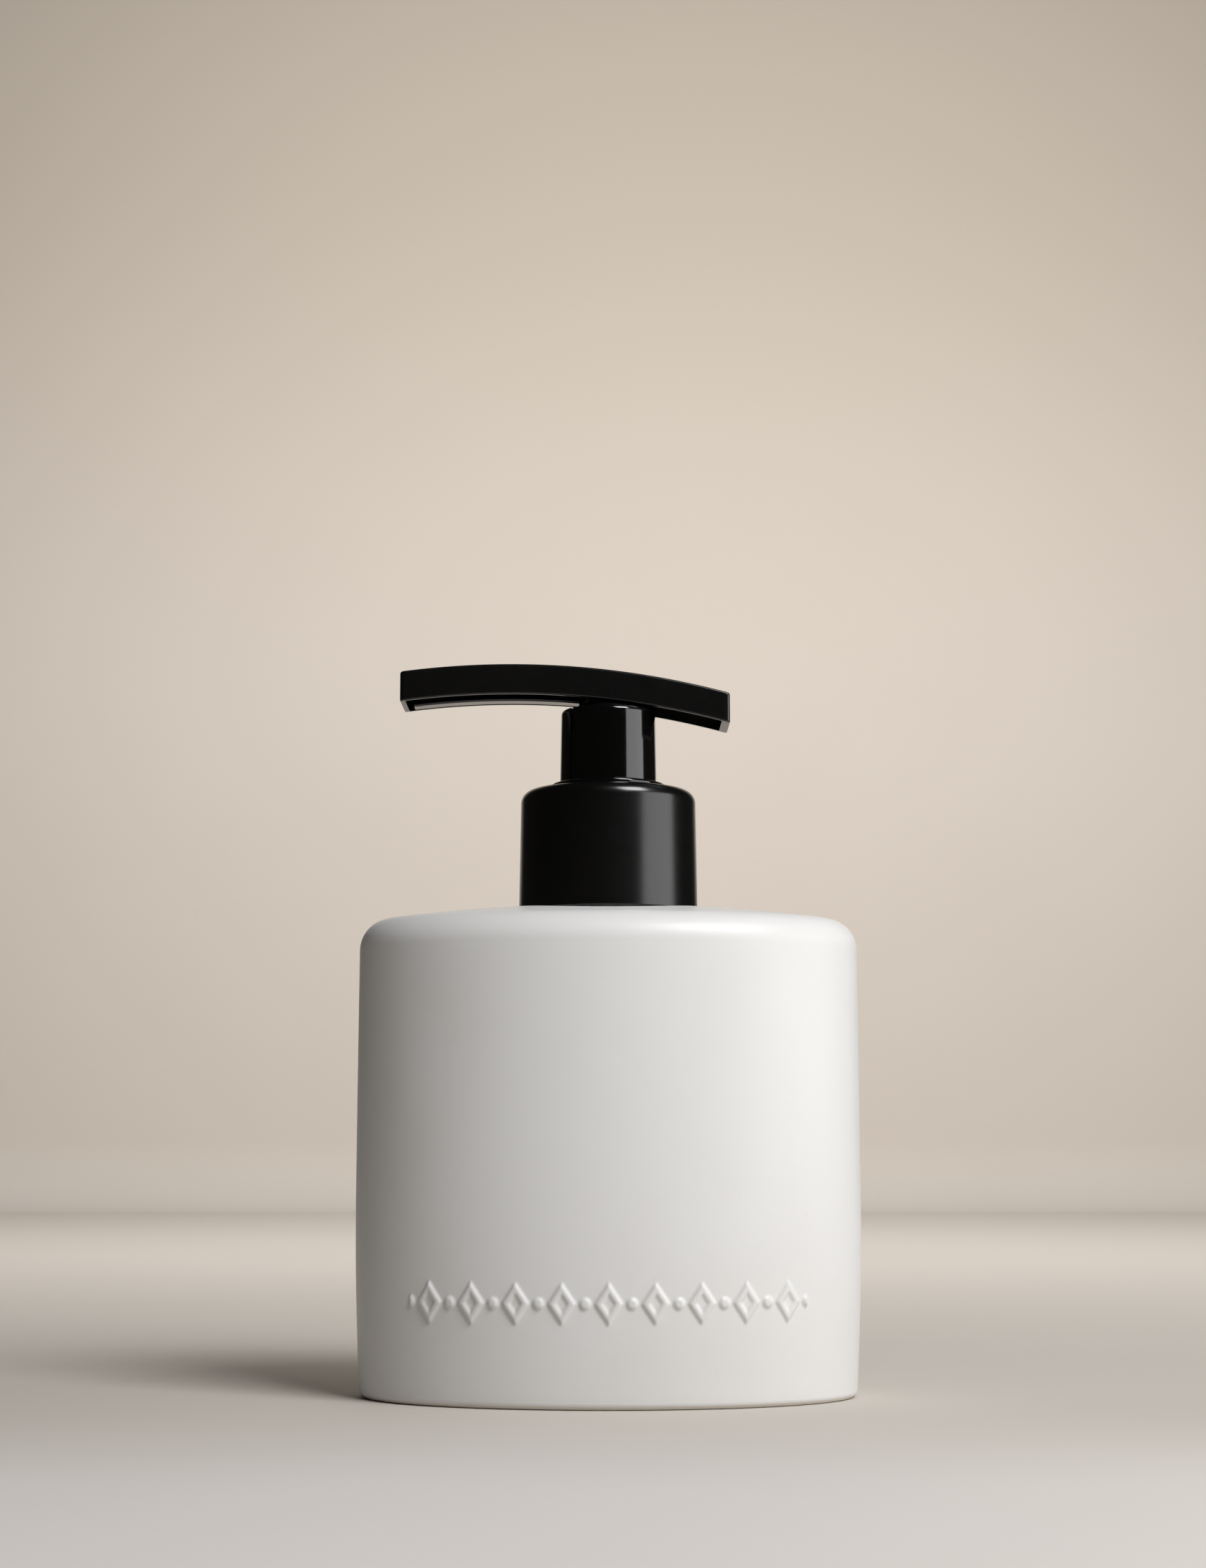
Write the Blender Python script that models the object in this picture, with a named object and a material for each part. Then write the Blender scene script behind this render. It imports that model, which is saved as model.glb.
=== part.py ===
"""Soap pump dispenser: an oval ceramic bottle closed by a lotion pump with a long curved press handle.

The frame is in metres with +Z up. The origin is the middle of the foot, +X runs along the bottle's
width and the long arm of the handle, with the outlet, points to -X. Every joint axis is the Z axis.
"""

import math

import bmesh
import bpy

MM = 0.001

# ---------------------------------------------------------------- fits and clearances
SEAT_GAP = 0.3 * MM  # between two pieces that rest on each other
RUN_GAP = 0.3 * MM  # radial clearance of sliding and nested round pieces
SNAP_GAP = 0.25 * MM  # radial clearance of the ring snapped into the housing
LOOSE_GAP = 0.4 * MM  # clearance of holes that guide nothing
TIP_GAP = 0.1 * MM  # housing's flange inside the crest of the cap's thread
THREAD_FLANK_GAP = 0.55 * MM  # axial clearance between the two threads
CUT_THROUGH = 2.0 * MM  # how far a cutter reaches past the piece it cuts

# ---------------------------------------------------------------- bottle
BOTTLE_WIDTH = 97.4 * MM
BOTTLE_DEPTH = 58.0 * MM
BOTTLE_SHOULDER_Z = 91.2 * MM  # where the rounded shoulder meets the domed top
DOME_RISE = 2.8 * MM
SHOULDER_RADIUS = 6.0 * MM
FOOT_RADIUS = 1.4 * MM
FOOT_TAPER = 1.2 * MM  # how much each side draws in from the belly to the foot
SHOULDER_TAPER = 0.15 * MM  # and from the belly to the shoulder
BELLY_Z = 38.0 * MM  # height of the widest section
CERAMIC_WALL = 4.0 * MM
CERAMIC_FLOOR = 5.0 * MM
INNER_CORNER = 3.6 * MM
FOOT_RING_WIDTH = 6.0 * MM
FOOT_RECESS = 1.0 * MM
MOUTH_RIM_RISE = 2.6 * MM  # top of the mouth's rim above the shoulder height
MOUTH_RIM_WIDTH = 1.7 * MM
SEAT_MARGIN = 1.0 * MM  # flat seat in the domed top, wider than the collar
SEAT_SLOPE = 0.4 * MM

# ---------------------------------------------------------------- threaded neck and closure
NECK_WALL = 1.25 * MM
NECK_HEIGHT = 13.8 * MM
NECK_PLUG_DEPTH = 9.2 * MM
NECK_PLUG_WALL = 1.95 * MM
NECK_FLANGE_T = 1.2 * MM
THREAD_PITCH = 4.23 * MM
THREAD_HEIGHT = 1.0 * MM
THREAD_ROOT = 1.6 * MM  # axial width of a ridge at its root
THREAD_CREST = 0.8 * MM
THREAD_TURNS = 1.6
THREAD_SINK = 0.4 * MM  # how deep a ridge is sunk into the wall that carries it
THREAD_START = 3.6 * MM  # middle of the neck's ridge above the neck's flange
MOUTH_GASKET_T = 0.8 * MM
NECK_GASKET_T = 0.9 * MM
HOUSING_FLANGE_T = 1.3 * MM
CAP_PLATE_T = 1.4 * MM
CAP_WALL = 1.9 * MM
CAP_FOOT_GAP = 0.6 * MM  # screw cap above the neck's flange
SHELL_PLATE_T = 1.6 * MM
SHELL_WALL = 1.1 * MM
SHELL_DRAFT = 0.35 * MM
SHELL_EDGE_RADIUS = 2.5 * MM
SHELL_FOOT_GAP = 0.4 * MM  # collar shell above the bottle's flat seat
CLOSURE_CHAMFER = 0.8 * MM  # where the cap's top corner nests in the shell

# ---------------------------------------------------------------- head
RING_FLANGE_T = 1.0 * MM
RING_FLOOR_T = 1.1 * MM
RING_WALL = 0.6 * MM
RING_LIP = 0.8 * MM  # how far the ring's flange stands out from its skirt
SLEEVE_R = 9.6 * MM
SLEEVE_DRAFT = 0.3 * MM
SLEEVE_WALL = 1.4 * MM
SLEEVE_SHOWN = 14.8 * MM  # height of the sleeve above the lock ring with the pump up
SLEEVE_HIDDEN = 4.5 * MM  # length of the sleeve inside the lock ring with the pump up
SLEEVE_LIP_T = 1.4 * MM
SLEEVE_LIP_W = 2.0 * MM  # width of the rim that turns in at the sleeve's top
CORE_DISC_T = 1.4 * MM
CORE_BOSS_H = 0.3 * MM  # boss above the sleeve's rim
CORE_SLOPE_H = 1.0 * MM
CORE_NECK_R = 5.4 * MM
CORE_NECK_H = 4.8 * MM  # top of the neck above the sleeve's rim
STEM_SOCKET_DEPTH = 12.1 * MM
STEM_SOCKET_WALL = 1.3 * MM
STEM_SOCKET_ROOF_T = 0.9 * MM
BAR_LEFT = 40.9 * MM
BAR_RIGHT = 23.9 * MM
BAR_WIDTH = 13.5 * MM
BAR_THICKNESS = 5.95 * MM
BAR_ARC_RADIUS = 163.0 * MM
BAR_CROWN_X = -19.0 * MM
BAR_ROOF_T = 1.3 * MM
BAR_SIDE_T = 1.0 * MM
BAR_LEFT_END_T = 1.3 * MM
BAR_RIGHT_END_T = 1.9 * MM
BAR_EDGE = 0.45 * MM
BAR_TO_SLEEVE = 0.3 * MM
SPOUT_NEAR_Y = -3.0 * MM
SPOUT_STEP_Y = 1.4 * MM  # beyond it the spout's floor is flush with the handle's walls
SPOUT_STEP_H = 1.75 * MM
SPOUT_WALL = 0.9 * MM
OUTLET_GAP = 0.95 * MM  # slot between the spout's end and the handle's end wall

# ---------------------------------------------------------------- pump
STROKE = 11.0 * MM
CYLINDER_R = 6.6 * MM
CYLINDER_WALL = 1.0 * MM
HOUSING_CUP_WALL = 0.6 * MM
HOUSING_CUP_FLOOR_T = 1.2 * MM
STEM_R = 3.0 * MM
STEM_BORE_R = 1.8 * MM
STEM_SHOULDER_W = 1.3 * MM
STEM_SHOULDER_T = 1.3 * MM
STEM_PORT_WIDTH = 1.4 * MM
STEM_PORT_HEIGHT = 4.6 * MM
PISTON_HEIGHT = 6.5 * MM
PISTON_SLIP = 1.2 * MM  # lost motion of the piston on the stem
PISTON_LIP = 0.9 * MM
PISTON_GROOVE = 2.6 * MM
PISTON_WEB_SHARE = 1 / 3  # each wall of the piston, as a share of its width
PISTON_WAIST_SHARE = 0.6  # depth of the waist, as a share of that wall
PLUG_HEAD_GAP = 1.0 * MM  # around the plug's head, for the soap
PLUG_HEAD_T = 1.6 * MM
PLUG_SHANK_H = 3.0 * MM
PLUG_PIN_R = 2.6 * MM
PLUG_PIN_H = 4.6 * MM
SPRING_LENGTH = 22.4 * MM
SPRING_TO_WALL = 1.1 * MM  # from the wire to the cylinder
SPRING_WIRE_R = 0.5 * MM
SPRING_TURNS = 7
SPRING_END_GAP = 0.15 * MM  # between the wires of the flat end turns
CAGE_ROOF_T = 1.2 * MM
CAGE_HOLE_R = 1.2 * MM
CAGE_POCKET_GAP = 0.5 * MM  # radial clearance around the ball
BALL_R = 2.3 * MM
BALL_LIFT = 1.2 * MM  # free rise of the ball below the cage's roof
INLET_BORE_R = 1.7 * MM
INLET_CONE_H = 1.0 * MM
INLET_LAND_H = 1.4 * MM
SOCKET_DEPTH = 8.2 * MM
SOCKET_WALL = 1.2 * MM
TUBE_R = 2.8 * MM
TUBE_BORE_R = 2.0 * MM
TUBE_FLOOR_GAP = 2.0 * MM

# ---------------------------------------------------------------- heights, stacked from the bottle up
MOUTH_RIM_Z = BOTTLE_SHOULDER_Z + MOUTH_RIM_RISE
MOUTH_GASKET_Z = MOUTH_RIM_Z + SEAT_GAP
NECK_FLANGE_Z = MOUTH_GASKET_Z + MOUTH_GASKET_T + SEAT_GAP
NECK_FOOT_Z = NECK_FLANGE_Z + NECK_FLANGE_T
NECK_TOP_Z = NECK_FOOT_Z + NECK_HEIGHT
NECK_GASKET_Z = NECK_TOP_Z + SEAT_GAP
HOUSING_FLANGE_Z = NECK_GASKET_Z + NECK_GASKET_T + SEAT_GAP
HOUSING_TOP_Z = HOUSING_FLANGE_Z + HOUSING_FLANGE_T
CAP_PLATE_Z = HOUSING_TOP_Z + SEAT_GAP
SHELL_PLATE_Z = CAP_PLATE_Z + CAP_PLATE_T + SEAT_GAP
COLLAR_TOP_Z = SHELL_PLATE_Z + SHELL_PLATE_T
RING_FLANGE_Z = COLLAR_TOP_Z + SEAT_GAP
RING_TOP_Z = RING_FLANGE_Z + RING_FLANGE_T
SLEEVE_BOTTOM_Z = RING_TOP_Z - SLEEVE_HIDDEN
SLEEVE_TOP_Z = RING_TOP_Z + SLEEVE_SHOWN
RING_FLOOR_TOP_Z = SLEEVE_BOTTOM_Z - STROKE - 3 * SEAT_GAP
RING_FLOOR_Z = RING_FLOOR_TOP_Z - RING_FLOOR_T
CUP_FLOOR_TOP_Z = RING_FLOOR_Z - SEAT_GAP
CUP_FLOOR_Z = CUP_FLOOR_TOP_Z - HOUSING_CUP_FLOOR_T
STEM_SHOULDER_TOP_Z = CUP_FLOOR_TOP_Z - SEAT_GAP / 2
STEM_SHOULDER_Z = STEM_SHOULDER_TOP_Z - STEM_SHOULDER_T
PISTON_TOP_Z = STEM_SHOULDER_Z - PISTON_SLIP - SEAT_GAP
PISTON_Z = PISTON_TOP_Z - PISTON_HEIGHT
PLUG_HEAD_TOP_Z = PISTON_Z - SEAT_GAP
PLUG_HEAD_Z = PLUG_HEAD_TOP_Z - PLUG_HEAD_T
STEM_BOTTOM_Z = PLUG_HEAD_TOP_Z + SEAT_GAP
SPRING_TOP_Z = PLUG_HEAD_Z - SEAT_GAP
SPRING_Z = SPRING_TOP_Z - SPRING_LENGTH
CAGE_TOP_Z = SPRING_Z - SEAT_GAP
CAGE_ROOF_Z = CAGE_TOP_Z - CAGE_ROOF_T
BALL_Z = CAGE_ROOF_Z - SEAT_GAP - BALL_LIFT - BALL_R
INLET_APEX_Z = BALL_Z - (BALL_R + SEAT_GAP) * math.sqrt(2)  # tip of the seat's 45 degree cone
INLET_CONE_Z = INLET_APEX_Z + INLET_BORE_R
CYLINDER_FLOOR_Z = INLET_CONE_Z + INLET_CONE_H
CAGE_Z = CYLINDER_FLOOR_Z + SEAT_GAP
SOCKET_ROOF_Z = INLET_CONE_Z - INLET_LAND_H
SOCKET_Z = SOCKET_ROOF_Z - SOCKET_DEPTH
TUBE_TOP_Z = SOCKET_ROOF_Z - SEAT_GAP
TUBE_Z = CERAMIC_FLOOR + TUBE_FLOOR_GAP
CORE_DISC_TOP_Z = SLEEVE_TOP_Z - SLEEVE_LIP_T - SEAT_GAP
CORE_DISC_Z = CORE_DISC_TOP_Z - CORE_DISC_T
STEM_SOCKET_ROOF_Z = CORE_DISC_TOP_Z - STEM_SOCKET_ROOF_T
STEM_TOP_Z = STEM_SOCKET_ROOF_Z - SEAT_GAP

# ---------------------------------------------------------------- radii, nested from the sleeve outwards
SLEEVE_TOP_R = SLEEVE_R - SLEEVE_DRAFT
RING_BORE_R = SLEEVE_R + RUN_GAP
RING_R = RING_BORE_R + RING_WALL
RING_FLANGE_R = RING_R + RING_LIP
PLATE_HOLE_R = RING_R + LOOSE_GAP
CUP_BORE_R = RING_R + SNAP_GAP
CUP_R = CUP_BORE_R + HOUSING_CUP_WALL
NECK_BORE_R = CUP_R + RUN_GAP
NECK_OUTER_R = NECK_BORE_R + NECK_WALL
THREAD_CREST_R = NECK_OUTER_R + THREAD_HEIGHT
NECK_PLUG_R = NECK_BORE_R + NECK_PLUG_WALL
MOUTH_BORE_R = NECK_PLUG_R + RUN_GAP
MOUTH_RIM_R = MOUTH_BORE_R + MOUTH_RIM_WIDTH
CAP_BORE_R = THREAD_CREST_R + RUN_GAP
CAP_R = CAP_BORE_R + CAP_WALL
SHELL_BORE_R = CAP_R + RUN_GAP
SHELL_R = SHELL_BORE_R + SHELL_WALL
HOUSING_FLANGE_R = CAP_BORE_R - THREAD_HEIGHT - TIP_GAP
STEM_HOLE_R = STEM_R + LOOSE_GAP
PISTON_R = CYLINDER_R - RUN_GAP
PISTON_BORE_R = STEM_R + RUN_GAP
PISTON_WEB = (PISTON_R - PISTON_BORE_R) * PISTON_WEB_SHARE
PISTON_WAIST = PISTON_WEB * PISTON_WAIST_SHARE
PLUG_HEAD_R = CYLINDER_R - PLUG_HEAD_GAP
SPRING_MEAN_R = CYLINDER_R - SPRING_TO_WALL - SPRING_WIRE_R
CAGE_R = CYLINDER_R - RUN_GAP
SEAT_R = SHELL_R + SEAT_MARGIN
SEAT_SHARE = SEAT_R / (BOTTLE_DEPTH / 2 - SHOULDER_TAPER - SHOULDER_RADIUS)
SEAT_Z = BOTTLE_SHOULDER_Z + DOME_RISE * (1 - SEAT_SHARE**2)  # the dome's height at the front of the seat

MATERIALS = {
    "ceramic_glaze": ((0.80, 0.78, 0.75), 0.42, 0.0),
    "black_satin": ((0.012, 0.012, 0.013), 0.32, 0.0),
    "black_gloss": ((0.012, 0.012, 0.013), 0.18, 0.0),
    "white_plastic": ((0.86, 0.86, 0.84), 0.40, 0.0),
    "clear_plastic": ((0.80, 0.84, 0.84), 0.15, 0.0),
    "gasket_foam": ((0.70, 0.70, 0.68), 0.80, 0.0),
    "stainless_steel": ((0.62, 0.62, 0.60), 0.25, 1.0),
}


# ---------------------------------------------------------------- helpers
def clear_scene():
    """Removes every object of the open file."""
    for obj in list(bpy.data.objects):
        bpy.data.objects.remove(obj, do_unlink=True)


def material(name):
    """Returns the named finish, and makes it on first use."""
    found = bpy.data.materials.get(name)
    if found:
        return found
    color, roughness, metallic = MATERIALS[name]
    made = bpy.data.materials.new(name)
    made.use_nodes = True
    shader = made.node_tree.nodes["Principled BSDF"]
    shader.inputs["Base Color"].default_value = (*color, 1.0)
    shader.inputs["Roughness"].default_value = roughness
    shader.inputs["Metallic"].default_value = metallic
    return made


def empty(name):
    """Makes an empty on the common axis, which carries the pieces of one moving body."""
    holder = bpy.data.objects.new(name, None)
    holder.empty_display_size = 10 * MM
    bpy.context.scene.collection.objects.link(holder)
    return holder


def finish_mesh(name, bm, finish, parent=None):
    """Turns a bmesh into a named object with its material and smooth round faces."""
    bmesh.ops.recalc_face_normals(bm, faces=bm.faces)
    mesh = bpy.data.meshes.new(name)
    bm.to_mesh(mesh)
    bm.free()
    obj = bpy.data.objects.new(name, mesh)
    bpy.context.scene.collection.objects.link(obj)
    obj.data.materials.append(material(finish))
    mesh.shade_smooth()
    mesh.set_sharp_from_angle(angle=math.radians(35))
    obj.parent = parent
    return obj


def loft(bm, rings, closed=False):
    """Joins rings of equal length with quads. A ring of one point is a pole, and open ends are capped."""
    made = [[bm.verts.new(point) for point in ring] for ring in rings]
    pairs = list(zip(made, made[1:]))
    if closed:
        pairs.append((made[-1], made[0]))
    for low, high in pairs:
        count = max(len(low), len(high))
        for i in range(count):
            j = (i + 1) % count
            corners = [low[i % len(low)], low[j % len(low)], high[j % len(high)], high[i % len(high)]]
            bm.faces.new(list(dict.fromkeys(corners)))
    if not closed:
        for ring in (made[0], made[-1]):
            if len(ring) > 1:
                bm.faces.new(ring)


def circle(radius, z, count):
    """A horizontal circle about the axis."""
    angles = [2 * math.pi * i / count for i in range(count)]
    return [(radius * math.cos(a), radius * math.sin(a), z) for a in angles]


def turned(name, profile, finish, parent=None, segments=36, solid=False):
    """Turns a closed outline of (radius, height) points about the Z axis.

    A solid piece has an outline that starts and ends on the axis instead of coming back to its start.
    """
    bm = bmesh.new()
    rings = []
    for radius, z in profile:
        if radius <= 0:
            rings.append([(0.0, 0.0, z)])
            continue
        rings.append(circle(radius, z, segments))
    loft(bm, rings, closed=not solid)
    return finish_mesh(name, bm, finish, parent)


def arc_points(center_r, center_z, radius, start, end, steps):
    """Points of an arc in the (radius, height) plane, with angles in degrees from the outward direction."""
    points = []
    for i in range(steps + 1):
        angle = math.radians(start + (end - start) * i / steps)
        points.append((center_r + radius * math.cos(angle), center_z + radius * math.sin(angle)))
    return points


def cut_or_join(target, tool, operation):
    """Adds an exact Boolean to the target, with the tool kept as a hidden wire guide."""
    tool.hide_render = True
    tool.display_type = "WIRE"
    tool.parent = target.parent
    modifier = target.modifiers.new(f"{operation.lower()}_{tool.name}", "BOOLEAN")
    modifier.operation = operation
    modifier.solver = "EXACT"
    modifier.object = tool


def rod_cutter(name, x, y, z_low, z_high, radius, segments=20):
    """An upright cylinder used as a cutter."""
    bm = bmesh.new()
    loft(bm, [circle(radius, z_low, segments), circle(radius, z_high, segments)])
    bmesh.ops.translate(bm, vec=(x, y, 0), verts=bm.verts)
    return finish_mesh(name, bm, "white_plastic")


def box_cutter(name, size, center):
    """A box used as a cutter."""
    bm = bmesh.new()
    bmesh.ops.create_cube(bm, size=1.0)
    bmesh.ops.scale(bm, vec=size, verts=bm.verts)
    bmesh.ops.translate(bm, vec=center, verts=bm.verts)
    return finish_mesh(name, bm, "white_plastic")


def thread_ridge(name, root_r, crest_r, start_z, per_turn=20):
    """A helical ridge from root_r to crest_r. Its root is sunk into the wall that it is joined to."""
    bm = bmesh.new()
    sink = THREAD_SINK if crest_r > root_r else -THREAD_SINK
    section = [
        (root_r - sink, -THREAD_ROOT / 2),
        (root_r, -THREAD_ROOT / 2),
        (crest_r, -THREAD_CREST / 2),
        (crest_r, THREAD_CREST / 2),
        (root_r, THREAD_ROOT / 2),
        (root_r - sink, THREAD_ROOT / 2),
    ]
    steps = round(THREAD_TURNS * per_turn)
    rings = []
    for i in range(steps + 1):
        angle = 2 * math.pi * THREAD_TURNS * i / steps
        rise = THREAD_PITCH * THREAD_TURNS * i / steps
        rings.append([(r * math.cos(angle), r * math.sin(angle), start_z + rise + dz) for r, dz in section])
    loft(bm, rings)
    return finish_mesh(name, bm, "white_plastic")


# ---------------------------------------------------------------- bottle
def side_inset(z):
    """How far the bottle's side lies inside its widest section at height z."""
    if z < BELLY_Z:
        return FOOT_TAPER * (1 - z / BELLY_Z) ** 2
    return SHOULDER_TAPER * ((z - BELLY_Z) / (BOTTLE_SHOULDER_Z - BELLY_Z)) ** 2


def oval(inset, z, count):
    """A horizontal oval section of the bottle, drawn in by inset on every side."""
    half_x = BOTTLE_WIDTH / 2 - inset
    half_y = BOTTLE_DEPTH / 2 - inset
    angles = [2 * math.pi * i / count for i in range(count)]
    return [(half_x * math.cos(a), half_y * math.sin(a), z) for a in angles]


def dome_ring(share, count):
    """A ring of the domed top, between the collar's seat (share 0) and the shoulder (share 1)."""
    edge_inset = side_inset(BOTTLE_SHOULDER_Z) + SHOULDER_RADIUS
    edge = oval(edge_inset, BOTTLE_SHOULDER_Z, count)
    rim = circle(SEAT_R, BOTTLE_SHOULDER_Z, count)
    half_x = BOTTLE_WIDTH / 2 - edge_inset
    half_y = BOTTLE_DEPTH / 2 - edge_inset
    ring = []
    for (ex, ey, _), (rx, ry, _) in zip(edge, rim):
        x = rx + (ex - rx) * share
        y = ry + (ey - ry) * share
        fall = min(1.0, (x / half_x) ** 2 + (y / half_y) ** 2)
        ring.append((x, y, BOTTLE_SHOULDER_Z + DOME_RISE * (1 - fall)))
    return ring


def make_bottle(parent, count=56):
    """The hollow oval bottle: foot ring, near-straight sides, round shoulder, domed top and open mouth."""
    rings = [[(0.0, 0.0, FOOT_RECESS)]]
    foot_outer = side_inset(0) + FOOT_RADIUS
    foot_inner = foot_outer + FOOT_RING_WIDTH
    rings.append(oval(foot_inner + FOOT_RECESS, FOOT_RECESS, count))
    rings.append(oval(foot_inner, 0.0, count))
    for r, z in arc_points(0, FOOT_RADIUS, FOOT_RADIUS, -90, 0, 3):
        rings.append(oval(side_inset(z) + FOOT_RADIUS - r, z, count))
    shoulder_foot_z = BOTTLE_SHOULDER_Z - SHOULDER_RADIUS
    side_steps = 6
    for i in range(1, side_steps):
        z = FOOT_RADIUS + (shoulder_foot_z - FOOT_RADIUS) * i / side_steps
        rings.append(oval(side_inset(z), z, count))
    for r, z in arc_points(0, shoulder_foot_z, SHOULDER_RADIUS, 0, 90, 6):
        rings.append(oval(side_inset(z) + SHOULDER_RADIUS - r, z, count))
    for share in (0.75, 0.5, 0.25, 0.0):
        rings.append(dome_ring(share, count))
    rings.append(circle(SEAT_R - SEAT_SLOPE, SEAT_Z, count))
    rings.append(circle(MOUTH_RIM_R, SEAT_Z, count))
    rings.append(circle(MOUTH_RIM_R, MOUTH_RIM_Z, count))
    rings.append(circle(MOUTH_BORE_R, MOUTH_RIM_Z, count))
    roof_z = BOTTLE_SHOULDER_Z - CERAMIC_WALL
    rings.append(circle(MOUTH_BORE_R, roof_z, count))
    rings.append(oval(CERAMIC_WALL + INNER_CORNER, roof_z, count))
    rings.append(oval(CERAMIC_WALL, roof_z - INNER_CORNER, count))
    rings.append(oval(CERAMIC_WALL, (roof_z + CERAMIC_FLOOR) / 2, count))
    rings.append(oval(CERAMIC_WALL + FOOT_TAPER, CERAMIC_FLOOR + INNER_CORNER, count))
    rings.append(oval(CERAMIC_WALL + FOOT_TAPER + INNER_CORNER, CERAMIC_FLOOR, count))
    rings.append([(0.0, 0.0, CERAMIC_FLOOR)])
    bm = bmesh.new()
    loft(bm, rings)
    return finish_mesh("bottle", bm, "ceramic_glaze", parent)


# ---------------------------------------------------------------- neck and closure
def washer(name, inner_r, outer_r, z, thickness, parent):
    """A flat sealing ring."""
    profile = [(inner_r, z), (outer_r, z), (outer_r, z + thickness), (inner_r, z + thickness)]
    return turned(name, profile, "gasket_foam", parent)


def make_neck_insert(parent):
    """The threaded neck that is fixed in the ceramic mouth."""
    profile = [
        (NECK_BORE_R, NECK_FLANGE_Z - NECK_PLUG_DEPTH),
        (NECK_PLUG_R, NECK_FLANGE_Z - NECK_PLUG_DEPTH),
        (NECK_PLUG_R, NECK_FLANGE_Z),
        (MOUTH_RIM_R, NECK_FLANGE_Z),
        (MOUTH_RIM_R, NECK_FOOT_Z),
        (NECK_OUTER_R, NECK_FOOT_Z),
        (NECK_OUTER_R, NECK_TOP_Z),
        (NECK_BORE_R, NECK_TOP_Z),
    ]
    neck = turned("neck_insert", profile, "white_plastic", parent, segments=40)
    start_z = NECK_FOOT_Z + THREAD_START
    cut_or_join(neck, thread_ridge("neck_thread", NECK_OUTER_R, THREAD_CREST_R, start_z), "UNION")
    return neck


def make_screw_cap(parent):
    """The inner threaded cap, which clamps the pump's flange on the neck."""
    cap_top_z = CAP_PLATE_Z + CAP_PLATE_T
    profile = [
        (CAP_BORE_R, NECK_FOOT_Z + CAP_FOOT_GAP),
        (CAP_R, NECK_FOOT_Z + CAP_FOOT_GAP),
        (CAP_R, cap_top_z - CLOSURE_CHAMFER),
        (CAP_R - CLOSURE_CHAMFER, cap_top_z),
        (PLATE_HOLE_R, cap_top_z),
        (PLATE_HOLE_R, CAP_PLATE_Z),
        (CAP_BORE_R, CAP_PLATE_Z),
    ]
    cap = turned("screw_cap", profile, "white_plastic", parent, segments=40)
    below = (THREAD_ROOT + THREAD_CREST) / 2 + THREAD_FLANK_GAP
    start_z = NECK_FOOT_Z + THREAD_START - below
    cut_or_join(cap, thread_ridge("cap_thread", CAP_BORE_R, CAP_BORE_R - THREAD_HEIGHT, start_z), "UNION")
    return cap


def make_collar_shell(parent):
    """The smooth outer collar, with a slight draft and a rounded top edge."""
    foot_z = SEAT_Z + SHELL_FOOT_GAP
    top_r = SHELL_R - SHELL_DRAFT
    profile = [(SHELL_BORE_R, foot_z), (SHELL_R, foot_z)]
    profile += arc_points(
        top_r - SHELL_EDGE_RADIUS, COLLAR_TOP_Z - SHELL_EDGE_RADIUS, SHELL_EDGE_RADIUS, 0, 90, 5
    )
    profile += [
        (PLATE_HOLE_R, COLLAR_TOP_Z),
        (PLATE_HOLE_R, SHELL_PLATE_Z),
        (SHELL_BORE_R - CLOSURE_CHAMFER, SHELL_PLATE_Z),
        (SHELL_BORE_R, SHELL_PLATE_Z - CLOSURE_CHAMFER),
    ]
    return turned("collar_shell", profile, "black_satin", parent, segments=48)


def make_lock_ring(parent):
    """The cup-shaped ring that is snapped into the housing and guides the sleeve and the stem."""
    profile = [
        (STEM_HOLE_R, RING_FLOOR_Z),
        (RING_R, RING_FLOOR_Z),
        (RING_R, RING_FLANGE_Z),
        (RING_FLANGE_R, RING_FLANGE_Z),
        (RING_FLANGE_R, RING_TOP_Z),
        (RING_BORE_R, RING_TOP_Z),
        (RING_BORE_R, RING_FLOOR_TOP_Z),
        (STEM_HOLE_R, RING_FLOOR_TOP_Z),
    ]
    return turned("lock_ring", profile, "black_gloss", parent, segments=40)


# ---------------------------------------------------------------- pump core
def make_pump_housing(parent):
    """The pump's cylinder, with a wide cup and a flange above and the inlet seat and tube socket below."""
    barrel_r = CYLINDER_R + CYLINDER_WALL
    socket_bore = TUBE_R + RUN_GAP
    profile = [
        (socket_bore, SOCKET_Z),
        (socket_bore + SOCKET_WALL, SOCKET_Z),
        (socket_bore + SOCKET_WALL, SOCKET_ROOF_Z),
        (barrel_r, INLET_CONE_Z),
        (barrel_r, CUP_FLOOR_Z),
        (CUP_R, CUP_FLOOR_Z),
        (CUP_R, HOUSING_FLANGE_Z),
        (HOUSING_FLANGE_R, HOUSING_FLANGE_Z),
        (HOUSING_FLANGE_R, HOUSING_TOP_Z),
        (CUP_BORE_R, HOUSING_TOP_Z),
        (CUP_BORE_R, CUP_FLOOR_TOP_Z),
        (CYLINDER_R, CUP_FLOOR_TOP_Z),
        (CYLINDER_R, CYLINDER_FLOOR_Z),
        (INLET_BORE_R + INLET_CONE_H, CYLINDER_FLOOR_Z),
        (INLET_BORE_R, INLET_CONE_Z),
        (INLET_BORE_R, SOCKET_ROOF_Z),
        (socket_bore, SOCKET_ROOF_Z),
    ]
    return turned("pump_housing", profile, "clear_plastic", parent)


def make_dip_tube(parent):
    """The straight tube from the housing's socket to just above the bottle's floor."""
    profile = [(TUBE_BORE_R, TUBE_Z), (TUBE_R, TUBE_Z), (TUBE_R, TUBE_TOP_Z), (TUBE_BORE_R, TUBE_TOP_Z)]
    return turned("dip_tube", profile, "clear_plastic", parent, segments=24)


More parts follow.
